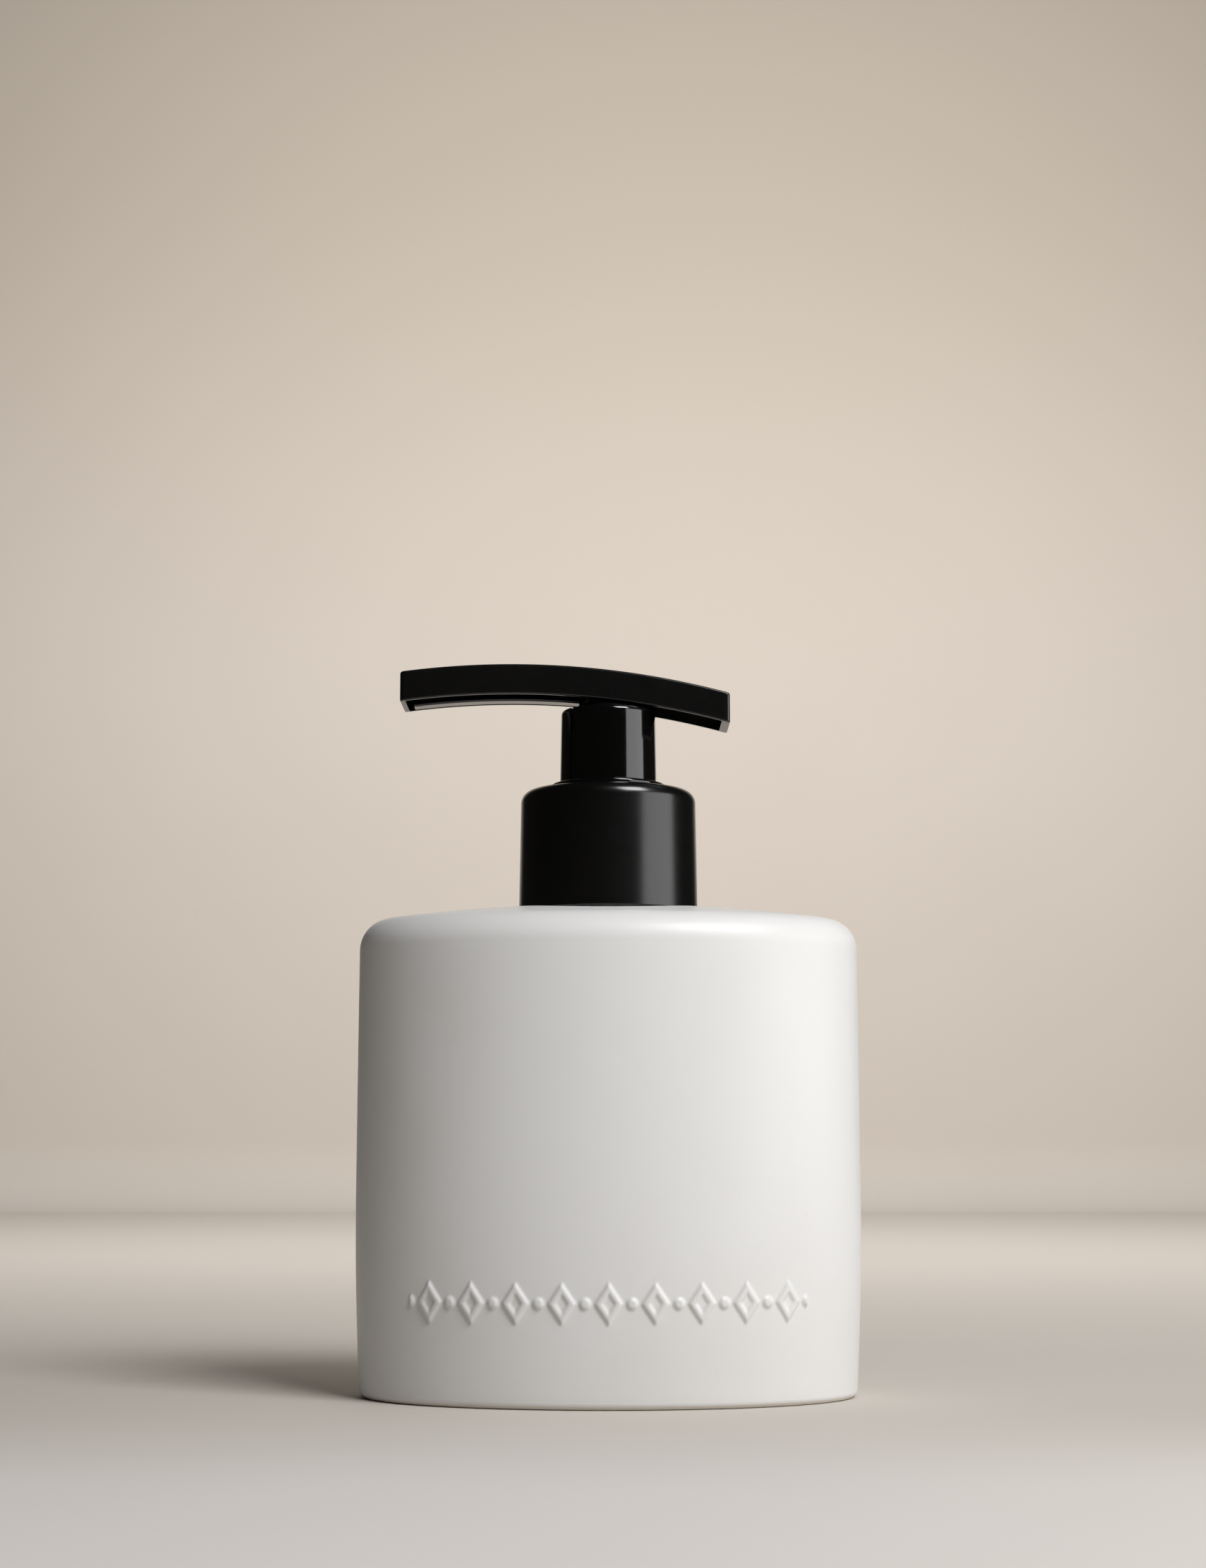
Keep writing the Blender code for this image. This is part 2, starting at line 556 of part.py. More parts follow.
def make_ball_cage(parent):
    """The disc over the inlet ball: a pocket for the ball, three flow holes and a flat top for the spring."""
    profile = [(0, CAGE_Z), (CAGE_R, CAGE_Z), (CAGE_R, CAGE_TOP_Z), (0, CAGE_TOP_Z)]
    cage = turned("ball_cage", profile, "white_plastic", parent, solid=True)
    pocket_r = BALL_R + CAGE_POCKET_GAP
    pocket = rod_cutter("cage_pocket", 0, 0, CAGE_Z - CUT_THROUGH / 2, CAGE_ROOF_Z, pocket_r)
    cut_or_join(cage, pocket, "DIFFERENCE")
    for i in range(3):
        angle = math.radians(90 + 120 * i)
        x = (pocket_r + CAGE_HOLE_R / 2) * math.cos(angle)
        y = (pocket_r + CAGE_HOLE_R / 2) * math.sin(angle)
        ends = (CAGE_Z - CUT_THROUGH, CAGE_TOP_Z + CUT_THROUGH)
        hole = rod_cutter(f"cage_hole_{i + 1}", x, y, *ends, CAGE_HOLE_R, segments=14)
        cut_or_join(cage, hole, "DIFFERENCE")
    return cage


def make_inlet_ball(parent):
    """The ball of the inlet valve, just clear of its 45 degree seat."""
    bm = bmesh.new()
    bmesh.ops.create_uvsphere(bm, u_segments=18, v_segments=10, radius=BALL_R)
    bmesh.ops.translate(bm, vec=(0, 0, BALL_Z), verts=bm.verts)
    return finish_mesh("inlet_ball", bm, "stainless_steel", parent)


# ---------------------------------------------------------------- stem and spring
def make_stem(parent):
    """The hollow rod that carries the head, with a stop shoulder and two ports at its lower end."""
    shoulder_r = STEM_R + STEM_SHOULDER_W
    profile = [
        (STEM_BORE_R, STEM_BOTTOM_Z),
        (STEM_R, STEM_BOTTOM_Z),
        (STEM_R, STEM_SHOULDER_Z),
        (shoulder_r, STEM_SHOULDER_Z),
        (shoulder_r, STEM_SHOULDER_TOP_Z),
        (STEM_R, STEM_SHOULDER_TOP_Z),
        (STEM_R, STEM_TOP_Z),
        (STEM_BORE_R, STEM_TOP_Z),
    ]
    stem = turned("stem", profile, "white_plastic", parent, segments=28)
    size = (3 * STEM_R, STEM_PORT_WIDTH, 2 * STEM_PORT_HEIGHT)
    cut_or_join(stem, box_cutter("stem_ports", size, (0, 0, STEM_BOTTOM_Z)), "DIFFERENCE")
    return stem


def make_stem_plug(parent):
    """The foot of the stem: a shank in its bore, a valve head and a pin that guides the spring."""
    shank_r = STEM_BORE_R - RUN_GAP
    profile = [
        (0, PLUG_HEAD_Z - PLUG_PIN_H),
        (PLUG_PIN_R, PLUG_HEAD_Z - PLUG_PIN_H),
        (PLUG_PIN_R, PLUG_HEAD_Z),
        (PLUG_HEAD_R, PLUG_HEAD_Z),
        (PLUG_HEAD_R, PLUG_HEAD_TOP_Z),
        (shank_r, PLUG_HEAD_TOP_Z),
        (shank_r, PLUG_HEAD_TOP_Z + PLUG_SHANK_H),
        (0, PLUG_HEAD_TOP_Z + PLUG_SHANK_H),
    ]
    return turned("stem_plug", profile, "white_plastic", parent, segments=28, solid=True)


def make_piston(parent):
    """The sliding seal: a hub around the stem and a waisted skirt with a sealing lip at each end."""
    hub_r = PISTON_BORE_R
    waist_r = PISTON_R - PISTON_WAIST
    groove_z = PISTON_Z + PISTON_GROOVE
    profile = [
        (hub_r, PISTON_Z),
        (hub_r + PISTON_WEB, PISTON_Z),
        (hub_r + PISTON_WEB, groove_z),
        (PISTON_R - PISTON_WEB, groove_z),
        (PISTON_R - PISTON_WEB, PISTON_Z),
        (PISTON_R, PISTON_Z),
        (PISTON_R, PISTON_Z + PISTON_LIP),
        (waist_r, PISTON_Z + 2 * PISTON_LIP),
        (waist_r, PISTON_TOP_Z - 2 * PISTON_LIP),
        (PISTON_R, PISTON_TOP_Z - PISTON_LIP),
        (PISTON_R, PISTON_TOP_Z),
        (hub_r, PISTON_TOP_Z),
    ]
    return turned("piston", profile, "white_plastic", parent, segments=36)


def make_spring(parent, per_turn=14, sides=5):
    """The compression spring: a round wire whose end turns lie flat."""
    low = SPRING_Z + SPRING_WIRE_R
    high = SPRING_TOP_Z - SPRING_WIRE_R
    closed_pitch = 2 * SPRING_WIRE_R + SPRING_END_GAP
    open_pitch = (high - low - 2 * closed_pitch) / (SPRING_TURNS - 2)
    bm = bmesh.new()
    rings = []
    z = low
    for i in range(SPRING_TURNS * per_turn + 1):
        turn = i / per_turn
        angle = 2 * math.pi * turn
        along = (math.cos(angle), math.sin(angle))
        ring = []
        for k in range(sides):
            side = 2 * math.pi * k / sides
            r = SPRING_MEAN_R + SPRING_WIRE_R * math.cos(side)
            ring.append((r * along[0], r * along[1], z + SPRING_WIRE_R * math.sin(side)))
        rings.append(ring)
        is_end = turn < 1 or turn >= SPRING_TURNS - 1
        z += (closed_pitch if is_end else open_pitch) / per_turn
    loft(bm, rings)
    return finish_mesh("spring", bm, "stainless_steel", parent)


# ---------------------------------------------------------------- head
def make_actuator_sleeve(parent):
    """The outer sleeve under the handle: a slightly tapered tube whose top rim turns in over the core."""
    bore_top_r = SLEEVE_TOP_R - SLEEVE_WALL
    lip_r = SLEEVE_TOP_R - SLEEVE_LIP_W
    profile = [
        (SLEEVE_R - SLEEVE_WALL, SLEEVE_BOTTOM_Z),
        (SLEEVE_R, SLEEVE_BOTTOM_Z),
        (SLEEVE_TOP_R, SLEEVE_TOP_Z),
        (lip_r, SLEEVE_TOP_Z),
        (lip_r, SLEEVE_TOP_Z - SLEEVE_LIP_T),
        (bore_top_r, SLEEVE_TOP_Z - SLEEVE_LIP_T),
    ]
    return turned("actuator_sleeve", profile, "black_gloss", parent, segments=40)


def make_actuator_core(parent):
    """The inner core of the head: the stem's socket, a disc under the sleeve's rim and the handle's neck."""
    stem_bore = STEM_R + RUN_GAP
    socket_foot_z = STEM_SOCKET_ROOF_Z - STEM_SOCKET_DEPTH
    disc_r = SLEEVE_TOP_R - SLEEVE_WALL - RUN_GAP
    boss_r = SLEEVE_TOP_R - SLEEVE_LIP_W - RUN_GAP
    boss_z = SLEEVE_TOP_Z + CORE_BOSS_H
    neck_top_z = SLEEVE_TOP_Z + CORE_NECK_H
    profile = [
        (stem_bore, socket_foot_z),
        (stem_bore + STEM_SOCKET_WALL, socket_foot_z),
        (stem_bore + STEM_SOCKET_WALL, CORE_DISC_Z),
        (disc_r, CORE_DISC_Z),
        (disc_r, CORE_DISC_TOP_Z),
        (boss_r, CORE_DISC_TOP_Z),
        (boss_r, boss_z),
        (CORE_NECK_R, boss_z + CORE_SLOPE_H),
        (CORE_NECK_R, neck_top_z),
        (STEM_BORE_R, neck_top_z),
        (STEM_BORE_R, STEM_SOCKET_ROOF_Z),
        (stem_bore, STEM_SOCKET_ROOF_Z),
    ]
    return turned("actuator_core", profile, "black_satin", parent)


def bar_drop(x):
    """How far the handle's top has fallen from its crown at x."""
    return BAR_ARC_RADIUS - math.sqrt(BAR_ARC_RADIUS**2 - (x - BAR_CROWN_X) ** 2)


def bar_crown_z():
    """The crown's height, which puts the handle's walls just above the sleeve's top."""
    inside = BAR_WIDTH / 2 - BAR_SIDE_T
    wall_x = math.sqrt(max(0.0, SLEEVE_TOP_R**2 - inside**2))
    return SLEEVE_TOP_Z + BAR_TO_SLEEVE + BAR_THICKNESS + bar_drop(wall_x)


def bar_top_z(x):
    """Height of the handle's top surface at x."""
    return bar_crown_z() - bar_drop(x)


def bar_loft(bm, x_low, x_high, section, steps=18):
    """Sweeps an upright section of (y, depth below the handle's top) points along the handle's arc."""
    rings = []
    for i in range(steps + 1):
        x = x_low + (x_high - x_low) * i / steps
        rings.append([(x, y, bar_top_z(x) - depth) for y, depth in section])
    loft(bm, rings)


def box_section(half_width, low, high, edge=0.0):
    """A rectangle between two depths, with its four corners cut by edge."""
    if not edge:
        return [(-half_width, low), (half_width, low), (half_width, high), (-half_width, high)]
    inner = half_width - edge
    bottom = [(-half_width, low - edge), (-inner, low), (inner, low), (half_width, low - edge)]
    top = [(half_width, high + edge), (inner, high), (-inner, high), (-half_width, high + edge)]
    return bottom + top


def make_handle_bar(parent):
    """The long curved press handle, a channel open downwards with closed ends."""
    bm = bmesh.new()
    bar_loft(bm, -BAR_LEFT, BAR_RIGHT, box_section(BAR_WIDTH / 2, BAR_THICKNESS, 0.0, BAR_EDGE))
    bar = finish_mesh("handle_bar", bm, "black_satin", parent)
    bm = bmesh.new()
    ends = (-BAR_LEFT + BAR_LEFT_END_T, BAR_RIGHT - BAR_RIGHT_END_T)
    bar_loft(bm, *ends, box_section(BAR_WIDTH / 2 - BAR_SIDE_T, BAR_THICKNESS + CUT_THROUGH, BAR_ROOF_T))
    cut_or_join(bar, finish_mesh("handle_channel", bm, "black_satin"), "DIFFERENCE")
    return bar


def make_spout_channel(parent):
    """The soap's stepped channel under the long arm, open upwards and at its outer end by the outlet."""
    far = BAR_WIDTH / 2 - BAR_SIDE_T - SEAT_GAP
    roof = BAR_ROOF_T + SEAT_GAP
    deep = BAR_THICKNESS
    shallow = deep - SPOUT_STEP_H
    inner_step = SPOUT_STEP_Y + SPOUT_WALL
    section = [(SPOUT_NEAR_Y, shallow), (SPOUT_STEP_Y, shallow), (SPOUT_STEP_Y, deep), (far, deep)]
    section += [(far, roof), (far - SPOUT_WALL, roof), (far - SPOUT_WALL, deep - SPOUT_WALL)]
    section += [(inner_step, deep - SPOUT_WALL), (inner_step, shallow - SPOUT_WALL)]
    section += [(SPOUT_NEAR_Y + SPOUT_WALL, shallow - SPOUT_WALL), (SPOUT_NEAR_Y + SPOUT_WALL, roof)]
    section.append((SPOUT_NEAR_Y, roof))
    x_low = -BAR_LEFT + BAR_LEFT_END_T + OUTLET_GAP
    x_high = -CORE_NECK_R - LOOSE_GAP
    bm = bmesh.new()
    bar_loft(bm, x_low, x_high, section, steps=12)
    return finish_mesh("spout_channel", bm, "black_gloss", parent)


def main():
    """Builds the dispenser with the pump up and the closure tight."""
    clear_scene()
    base = empty("base_body")
    make_bottle(base)
    washer("mouth_gasket", MOUTH_BORE_R, MOUTH_RIM_R, MOUTH_GASKET_Z, MOUTH_GASKET_T, base)
    make_neck_insert(base)

    core = empty("pump_core_body")
    washer("neck_gasket", CUP_R + RUN_GAP, HOUSING_FLANGE_R, NECK_GASKET_Z, NECK_GASKET_T, core)
    make_pump_housing(core)
    make_lock_ring(core)
    make_ball_cage(core)
    make_dip_tube(core)
    make_spring(core)
    make_inlet_ball(empty("inlet_ball_body"))

    closure = empty("closure_body")
    make_screw_cap(closure)
    make_collar_shell(closure)

    stem = empty("stem_body")
    make_stem(stem)
    make_stem_plug(stem)
    make_piston(empty("piston_body"))

    head = empty("head_body")
    make_actuator_core(head)
    make_actuator_sleeve(head)
    make_handle_bar(head)
    make_spout_channel(head)


main()
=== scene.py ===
"""Soap pump dispenser: a satin oval ceramic bottle with a black lotion pump, dressed around its CAD frame.

Lengths are metres and +Z is up. The bottle stands on the origin, its width runs along X and the outlet
of the long press handle points to -X. Each class below builds and dresses one sub-assembly.
"""

import logging
import math
from dataclasses import dataclass, field
from enum import Enum
from typing import Callable, Iterable, Sequence

import bmesh
import bpy
from bmesh.types import BMesh
from bpy.types import Material, Object
from bpy.types import NodeSocket as Socket
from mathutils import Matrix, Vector


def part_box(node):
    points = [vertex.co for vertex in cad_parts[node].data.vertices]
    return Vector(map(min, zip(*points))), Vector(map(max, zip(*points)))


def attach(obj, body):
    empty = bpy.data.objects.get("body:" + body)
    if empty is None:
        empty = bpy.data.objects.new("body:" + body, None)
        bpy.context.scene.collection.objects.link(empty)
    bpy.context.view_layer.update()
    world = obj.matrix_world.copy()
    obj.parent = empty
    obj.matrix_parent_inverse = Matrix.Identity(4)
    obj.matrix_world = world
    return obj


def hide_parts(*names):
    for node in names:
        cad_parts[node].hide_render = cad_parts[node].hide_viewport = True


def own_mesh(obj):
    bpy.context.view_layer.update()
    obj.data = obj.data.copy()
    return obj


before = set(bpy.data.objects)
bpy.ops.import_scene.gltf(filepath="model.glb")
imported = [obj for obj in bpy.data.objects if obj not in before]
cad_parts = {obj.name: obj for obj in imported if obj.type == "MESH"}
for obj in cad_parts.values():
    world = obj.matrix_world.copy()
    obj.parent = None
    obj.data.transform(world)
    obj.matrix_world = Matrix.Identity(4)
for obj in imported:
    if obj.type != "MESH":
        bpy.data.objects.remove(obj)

log = logging.getLogger("soap_dispenser")
MM = 0.001
Point = tuple[float, float]
Triple = tuple[float, float, float]
Ring = list[Triple]


class Body(str, Enum):
    """The moving bodies that carry new pieces."""

    BASE = "base"
    CORE = "pump_core"
    CLOSURE = "closure"
    HEAD = "head"


class Slot(str, Enum):
    """The material slots of the record."""

    GLAZE = "ceramic_glaze"
    SATIN = "black_satin"
    GLOSS = "black_gloss"
    WHITE = "white_plastic"
    CLEAR = "clear_plastic"
    FOAM = "gasket_foam"
    STEEL = "stainless_steel"


# ---------------------------------------------------------------- node graphs
class NodeGraph:
    """A node tree that is filled in code, for a finish or for geometry."""

    def __init__(self, tree: bpy.types.NodeTree, math_kind: str = "ShaderNodeMath") -> None:
        """Keeps the tree that the nodes go into."""
        self.tree = tree
        self.math_kind = math_kind

    def feed(self, socket: Socket, value: object) -> None:
        """Links a socket to another node, or sets its own value.

        Args:
            socket: the input to feed.
            value: a socket, a node (its first shown output is used) or a plain value.
        """
        if isinstance(value, bpy.types.Node):
            value = next(out for out in value.outputs if out.enabled)
        if isinstance(value, Socket):
            self.tree.links.new(value, socket)
        else:
            socket.default_value = value

    def add(self, kind: str, inputs: dict | None = None, **settings: object) -> bpy.types.Node:
        """Adds a node.

        Args:
            kind: the node's type name.
            inputs: values or links by input name or index.
            **settings: the node's own properties.

        Returns:
            The new node.
        """
        node = self.tree.nodes.new(kind)
        for name, value in settings.items():
            setattr(node, name, value)
        for name, value in (inputs or {}).items():
            self.feed(node.inputs[name], value)
        return node

    def math(self, operation: str, a: object, b: object = 0.0, c: object = 0.0) -> Socket:
        """Adds one step of arithmetic.

        Args:
            operation: the Math node's operation.
            a: first value or link.
            b: second value or link.
            c: third value or link, for operations that take three.

        Returns:
            The result's socket.
        """
        node = self.add(self.math_kind, operation=operation)
        for socket, value in zip(node.inputs, (a, b, c)):
            self.feed(socket, value)
        return node.outputs[0]

    def ramp(self, value: object, low: float, high: float) -> Socket:
        """A smooth step of a value: 0 below low, 1 above high."""
        node = self.add("ShaderNodeMapRange", interpolation_type="SMOOTHSTEP")
        for socket, given in zip(node.inputs, (value, low, high, 0.0, 1.0)):
            self.feed(socket, given)
        return node.outputs[0]


class FinishGraph(NodeGraph):
    """The node graph of one material, around its Principled shader."""

    def __init__(self, name: str) -> None:
        """Makes the material and finds its shader."""
        self.material = bpy.data.materials.new(name)
        self.material.use_nodes = True
        super().__init__(self.material.node_tree)
        self.shader = self.tree.nodes["Principled BSDF"]
        self.place = self.add("ShaderNodeTexCoord").outputs["Object"]

    def noise(self, scale: float, detail: float = 2.0, stretch: Sequence[float] | None = None) -> Socket:
        """Noise in the object's own space.

        Args:
            scale: waves per metre.
            detail: octaves.
            stretch: scale of each axis before the noise, for brushed or drawn surfaces.

        Returns:
            The noise factor's socket.
        """
        place = self.place
        if stretch:
            place = self.add("ShaderNodeMapping", {"Vector": place, "Scale": stretch})
        made = self.add("ShaderNodeTexNoise", {"Vector": place, "Scale": scale, "Detail": detail})
        return made.outputs[0]

    def blend(self, factor: object, first: object, second: object) -> Socket:
        """Mixes two colours by a factor."""
        node = self.add("ShaderNodeMix", data_type="RGBA")
        for index, value in ((0, factor), (6, first), (7, second)):
            self.feed(node.inputs[index], (*value, 1.0) if isinstance(value, tuple) else value)
        return node.outputs[2]

    def bumps(self, layers: Iterable[tuple[Socket, float, float]]) -> None:
        """Stacks bump layers and feeds the shader's normal.

        Args:
            layers: (height, distance in metres, strength) of each layer.
        """
        normal = None
        for height, distance, strength in layers:
            inputs = {"Height": height, "Distance": distance, "Strength": strength}
            if normal is not None:
                inputs["Normal"] = normal
            normal = self.add("ShaderNodeBump", inputs).outputs[0]
        self.feed(self.shader.inputs["Normal"], normal)

    def set(self, **values: object) -> None:
        """Sets or links the shader's sockets, with underscores for spaces."""
        for name, value in values.items():
            socket = self.shader.inputs[name.replace("_", " ")]
            self.feed(socket, (*value, 1.0) if isinstance(value, tuple) else value)


# ---------------------------------------------------------------- finishes
@dataclass(frozen=True)
class Glaze:
    """Off-white satin glaze: faint clouding, a soft orange-peel skin and a bare rough foot."""

    color: Triple = (0.800, 0.798, 0.795)
    cloud: Triple = (0.775, 0.768, 0.757)
    clay: Triple = (0.70, 0.66, 0.60)
    foot_height: float = 0.55 * MM

    def build(self) -> Material:
        """Builds the material."""
        g = FinishGraph("satin_glaze")
        clouds = g.ramp(g.noise(26, 4), 0.38, 0.72)
        body = g.blend(clouds, self.color, self.cloud)
        speck = g.ramp(g.noise(1500, 1), 0.76, 0.82)
        body = g.blend(g.math("MULTIPLY", speck, 0.16), body, (0.50, 0.44, 0.36))
        height = g.add("ShaderNodeSeparateXYZ", {0: g.place}).outputs["Z"]
        bare = g.math("SUBTRACT", 1.0, g.ramp(height, self.foot_height, 1.6 * self.foot_height))
        g.set(Base_Color=g.blend(bare, body, self.clay))
        satin = g.math("MULTIPLY_ADD", g.noise(140, 3), 0.10, 0.33)
        g.set(Roughness=g.math("ADD", satin, g.math("MULTIPLY", bare, 0.4)), IOR=1.5)
        g.shader.inputs["Specular IOR Level"].default_value = 0.42
        g.bumps([(g.noise(75, 1), 0.12 * MM, 0.35), (g.noise(520, 2), 0.02 * MM, 0.5)])
        return g.material


@dataclass(frozen=True)
class Moulding:
    """Opaque moulded plastic with a faint flow pattern and a fine tool texture."""

    name: str
    color: Triple
    flow: Triple
    roughness: float
    spread: float = 0.06
    texture: float = 0.004 * MM
    grain: float = 2600.0
    ior: float = 1.5

    def build(self) -> Material:
        """Builds the material."""
        g = FinishGraph(self.name)
        flow = g.ramp(g.noise(60, 3, (1, 1, 0.35)), 0.35, 0.75)
        g.set(Base_Color=g.blend(flow, self.color, self.flow))
        wear = g.noise(330, 4)
        g.set(Roughness=g.math("MULTIPLY_ADD", wear, self.spread, self.roughness - self.spread / 2))
        g.set(IOR=self.ior)
        g.bumps([(g.noise(110, 1), 0.03 * MM, 0.2), (g.noise(self.grain, 2), self.texture, 0.6)])
        return g.material


@dataclass(frozen=True)
class ClearMoulding:
    """Translucent natural plastic of the housing and the dip tube."""

    color: Triple = (0.86, 0.90, 0.90)

    def build(self) -> Material:
        """Builds the material."""
        g = FinishGraph("clear_moulding")
        haze = g.ramp(g.noise(90, 2, (1, 1, 0.2)), 0.3, 0.8)
        g.set(Base_Color=g.blend(haze, self.color, (0.78, 0.83, 0.84)), IOR=1.49)
        g.set(Roughness=g.math("MULTIPLY_ADD", g.noise(400, 2), 0.12, 0.16))
        g.shader.inputs["Transmission Weight"].default_value = 0.75
        g.bumps([(g.noise(240, 2, (1, 1, 0.1)), 0.02 * MM, 0.3)])
        return g.material


@dataclass(frozen=True)
class Foam:
    """Closed-cell gasket foam."""

    color: Triple = (0.72, 0.72, 0.69)

    def build(self) -> Material:
        """Builds the material."""
        g = FinishGraph("gasket_foam_cells")
        cells = g.add("ShaderNodeTexVoronoi", {"Vector": g.place, "Scale": 3200.0}).outputs["Distance"]
        g.set(Base_Color=g.blend(g.ramp(cells, 0.1, 0.6), self.color, (0.60, 0.60, 0.57)))
        g.set(Roughness=g.math("MULTIPLY_ADD", cells, 0.1, 0.78))
        g.bumps([(cells, 0.05 * MM, 0.7)])
        return g.material


@dataclass(frozen=True)
class DrawnSteel:
    """Bright drawn stainless wire."""

    color: Triple = (0.62, 0.61, 0.59)

    def build(self) -> Material:
        """Builds the material."""
        g = FinishGraph("drawn_steel")
        lines = g.noise(900, 3, (1, 1, 6))
        g.set(Base_Color=g.blend(lines, self.color, (0.50, 0.49, 0.47)), Metallic=1.0)
        g.set(Roughness=g.math("MULTIPLY_ADD", lines, 0.18, 0.18))
        g.bumps([(lines, 0.01 * MM, 0.4)])
        return g.material


@dataclass(frozen=True)
class SeamlessPaper:
    """The pale warm backdrop: matt paper, with painted shade that darkens its top and painted light that
    makes its front paler.
    """

    low: Triple = (0.640, 0.587, 0.528)
    # painted shade: the darker colour that the backdrop takes towards its top
    high: Triple = (0.500, 0.445, 0.380)
    table: Triple = (0.620, 0.578, 0.530)
    # painted light: the paler colour of the floor in front of the bottle
    front: Triple = (0.780, 0.740, 0.700)

    def build(self) -> Material:
        """Builds the material."""
        g = FinishGraph("seamless_paper")
        height = g.add("ShaderNodeSeparateXYZ", {0: g.place}).outputs["Z"]
        # painted shade: the wall darkens from 0.3 m to 0.8 m up, standing in for the lights' falloff
        wall = g.blend(g.ramp(height, 0.30, 0.80), self.low, self.high)
        near = g.add("ShaderNodeSeparateXYZ", {0: g.place}).outputs["Y"]
        # painted light: the floor turns paler towards the front, standing in for the lights' fall there
        floor = g.blend(g.ramp(near, -0.14, -0.02), self.front, self.table)
        color = g.blend(g.ramp(height, 0.0, 0.05), floor, wall)
        mottle = g.math("MULTIPLY", g.ramp(g.noise(9, 4), 0.35, 0.75), 0.05)
        g.set(Base_Color=g.blend(mottle, color, (0.50, 0.44, 0.37)))
        g.set(Roughness=g.math("MULTIPLY_ADD", g.noise(220, 2), 0.15, 0.70))
        g.shader.inputs["Specular IOR Level"].default_value = 0.25
        g.bumps([(g.noise(700, 3), 0.05 * MM, 0.25)])
        return g.material


class Finishes:
    """All finishes of the dispenser, built once and kept by slot."""

    def __init__(self) -> None:
        """Builds every finish."""
        black, warm = (0.0018, 0.0017, 0.0017), (0.0026, 0.0025, 0.0023)
        white, ivory = (0.84, 0.84, 0.82), (0.80, 0.80, 0.77)
        made = {
            Slot.GLAZE: Glaze(),
            Slot.SATIN: Moulding("satin_black", black, warm, 0.24, texture=0.006 * MM, ior=1.58),
            Slot.GLOSS: Moulding("gloss_black", black, warm, 0.10, texture=0.003 * MM, ior=1.62),
            Slot.WHITE: Moulding("white_moulding", white, ivory, 0.40),
            Slot.CLEAR: ClearMoulding(),
            Slot.FOAM: Foam(),
            Slot.STEEL: DrawnSteel(),
        }
        self.by_slot = {slot: finish.build() for slot, finish in made.items()}

    def dress(self, obj: Object, slot: Slot) -> None:
        """Puts a slot's finish on a piece.

        Args:
            obj: a new piece or a CAD node.
            slot: the material slot.
        """
        if not obj.data.materials:
            obj.data.materials.append(self.by_slot[slot])
        for index in range(len(obj.data.materials)):
            obj.data.materials[index] = self.by_slot[slot]


# ---------------------------------------------------------------- meshes
def arc(center: Point, radius: float, start: float, end: float, steps: int) -> list[Point]:
    """Points of an arc.

    Args:
        center: middle of the arc.
        radius: its radius.
        start: first angle in degrees, from the outward direction.
        end: last angle in degrees.
        steps: number of segments.

    Returns:
        steps + 1 points.
    """
    angles = [math.radians(start + (end - start) * i / steps) for i in range(steps + 1)]
    return [(center[0] + radius * math.cos(a), center[1] + radius * math.sin(a)) for a in angles]


def rounded(corners: Sequence[Triple], steps: int = 6, closed: bool = True) -> list[Point]:
    """Rounds the corners of an outline, with a support point beside each rounding.

    Args:
        corners: (x, y, radius) of each corner, in order.
        steps: segments of each rounding.
        closed: whether the last corner joins the first.

    Returns:
        The rounded outline.
    """
    out: list[Point] = []
    count = len(corners)
    for i, (x, y, radius) in enumerate(corners):
        here = Vector((x, y))
        if radius <= 0 or (not closed and i in (0, count - 1)):
            out.append((x, y))
            continue
        before = Vector(corners[i - 1][:2]) - here
        after = Vector(corners[(i + 1) % count][:2]) - here
        half = before.angle(after) / 2
        reach = min(radius / math.tan(half), 0.48 * before.length, 0.48 * after.length)
        radius = reach * math.tan(half)
        before.normalize()
        after.normalize()
        center = here + (before + after).normalized() * (radius / math.sin(half))
        first, last = here + before * reach - center, here + after * reach - center
        sweep = first.angle_signed(last)
        support = min(0.12 * MM, reach * 0.3)
        out.append(tuple(here + before * (reach + support)))
        for k in range(steps + 1):
            turn = -sweep * k / steps
            c, s = math.cos(turn), math.sin(turn)
            out.append((center.x + first.x * c - first.y * s, center.y + first.x * s + first.y * c))
        out.append(tuple(here + after * (reach + support)))
    return out


def loft(bm: BMesh, rings: Sequence[Ring], closed: bool = False) -> list[list]:
    """Joins rings of equal length with quads. A ring of one point is a pole, and open ends are capped.

    Args:
        bm: the mesh being built.
        rings: the rings, in order.
        closed: whether the last ring joins the first.

    Returns:
        The vertices of each ring.
    """
    made = [[bm.verts.new(point) for point in ring] for ring in rings]
    pairs = list(zip(made, made[1:])) + ([(made[-1], made[0])] if closed else [])
    for low, high in pairs:
        count = max(len(low), len(high))
        for i in range(count):
            j = (i + 1) % count
            corners = [low[i % len(low)], low[j % len(low)], high[j % len(high)], high[i % len(high)]]
            bm.faces.new(list(dict.fromkeys(corners)))
    if not closed:
        for ring in (made[0], made[-1]):
            if len(ring) > 1:
                bm.faces.new(ring)
    return made


def to_object(name: str, bm: BMesh, sharp: float = 40.0) -> Object:
    """Turns a bmesh into a smooth-shaded object with outward faces.

    Args:
        name: the piece's name.
        bm: the finished bmesh, which is freed.
        sharp: edges over this angle in degrees stay crisp.

    Returns:
        The new object, at the origin.
    """
    bmesh.ops.recalc_face_normals(bm, faces=bm.faces)
    mesh = bpy.data.meshes.new(name)
    bm.to_mesh(mesh)
    bm.free()
    mesh.shade_smooth()
    mesh.set_sharp_from_angle(angle=math.radians(sharp))
    obj = bpy.data.objects.new(name, mesh)
    bpy.context.scene.collection.objects.link(obj)
    return obj


def even_angles(count: int) -> list[float]:
    """Angles that share a full turn evenly."""
    return [2 * math.pi * i / count for i in range(count)]


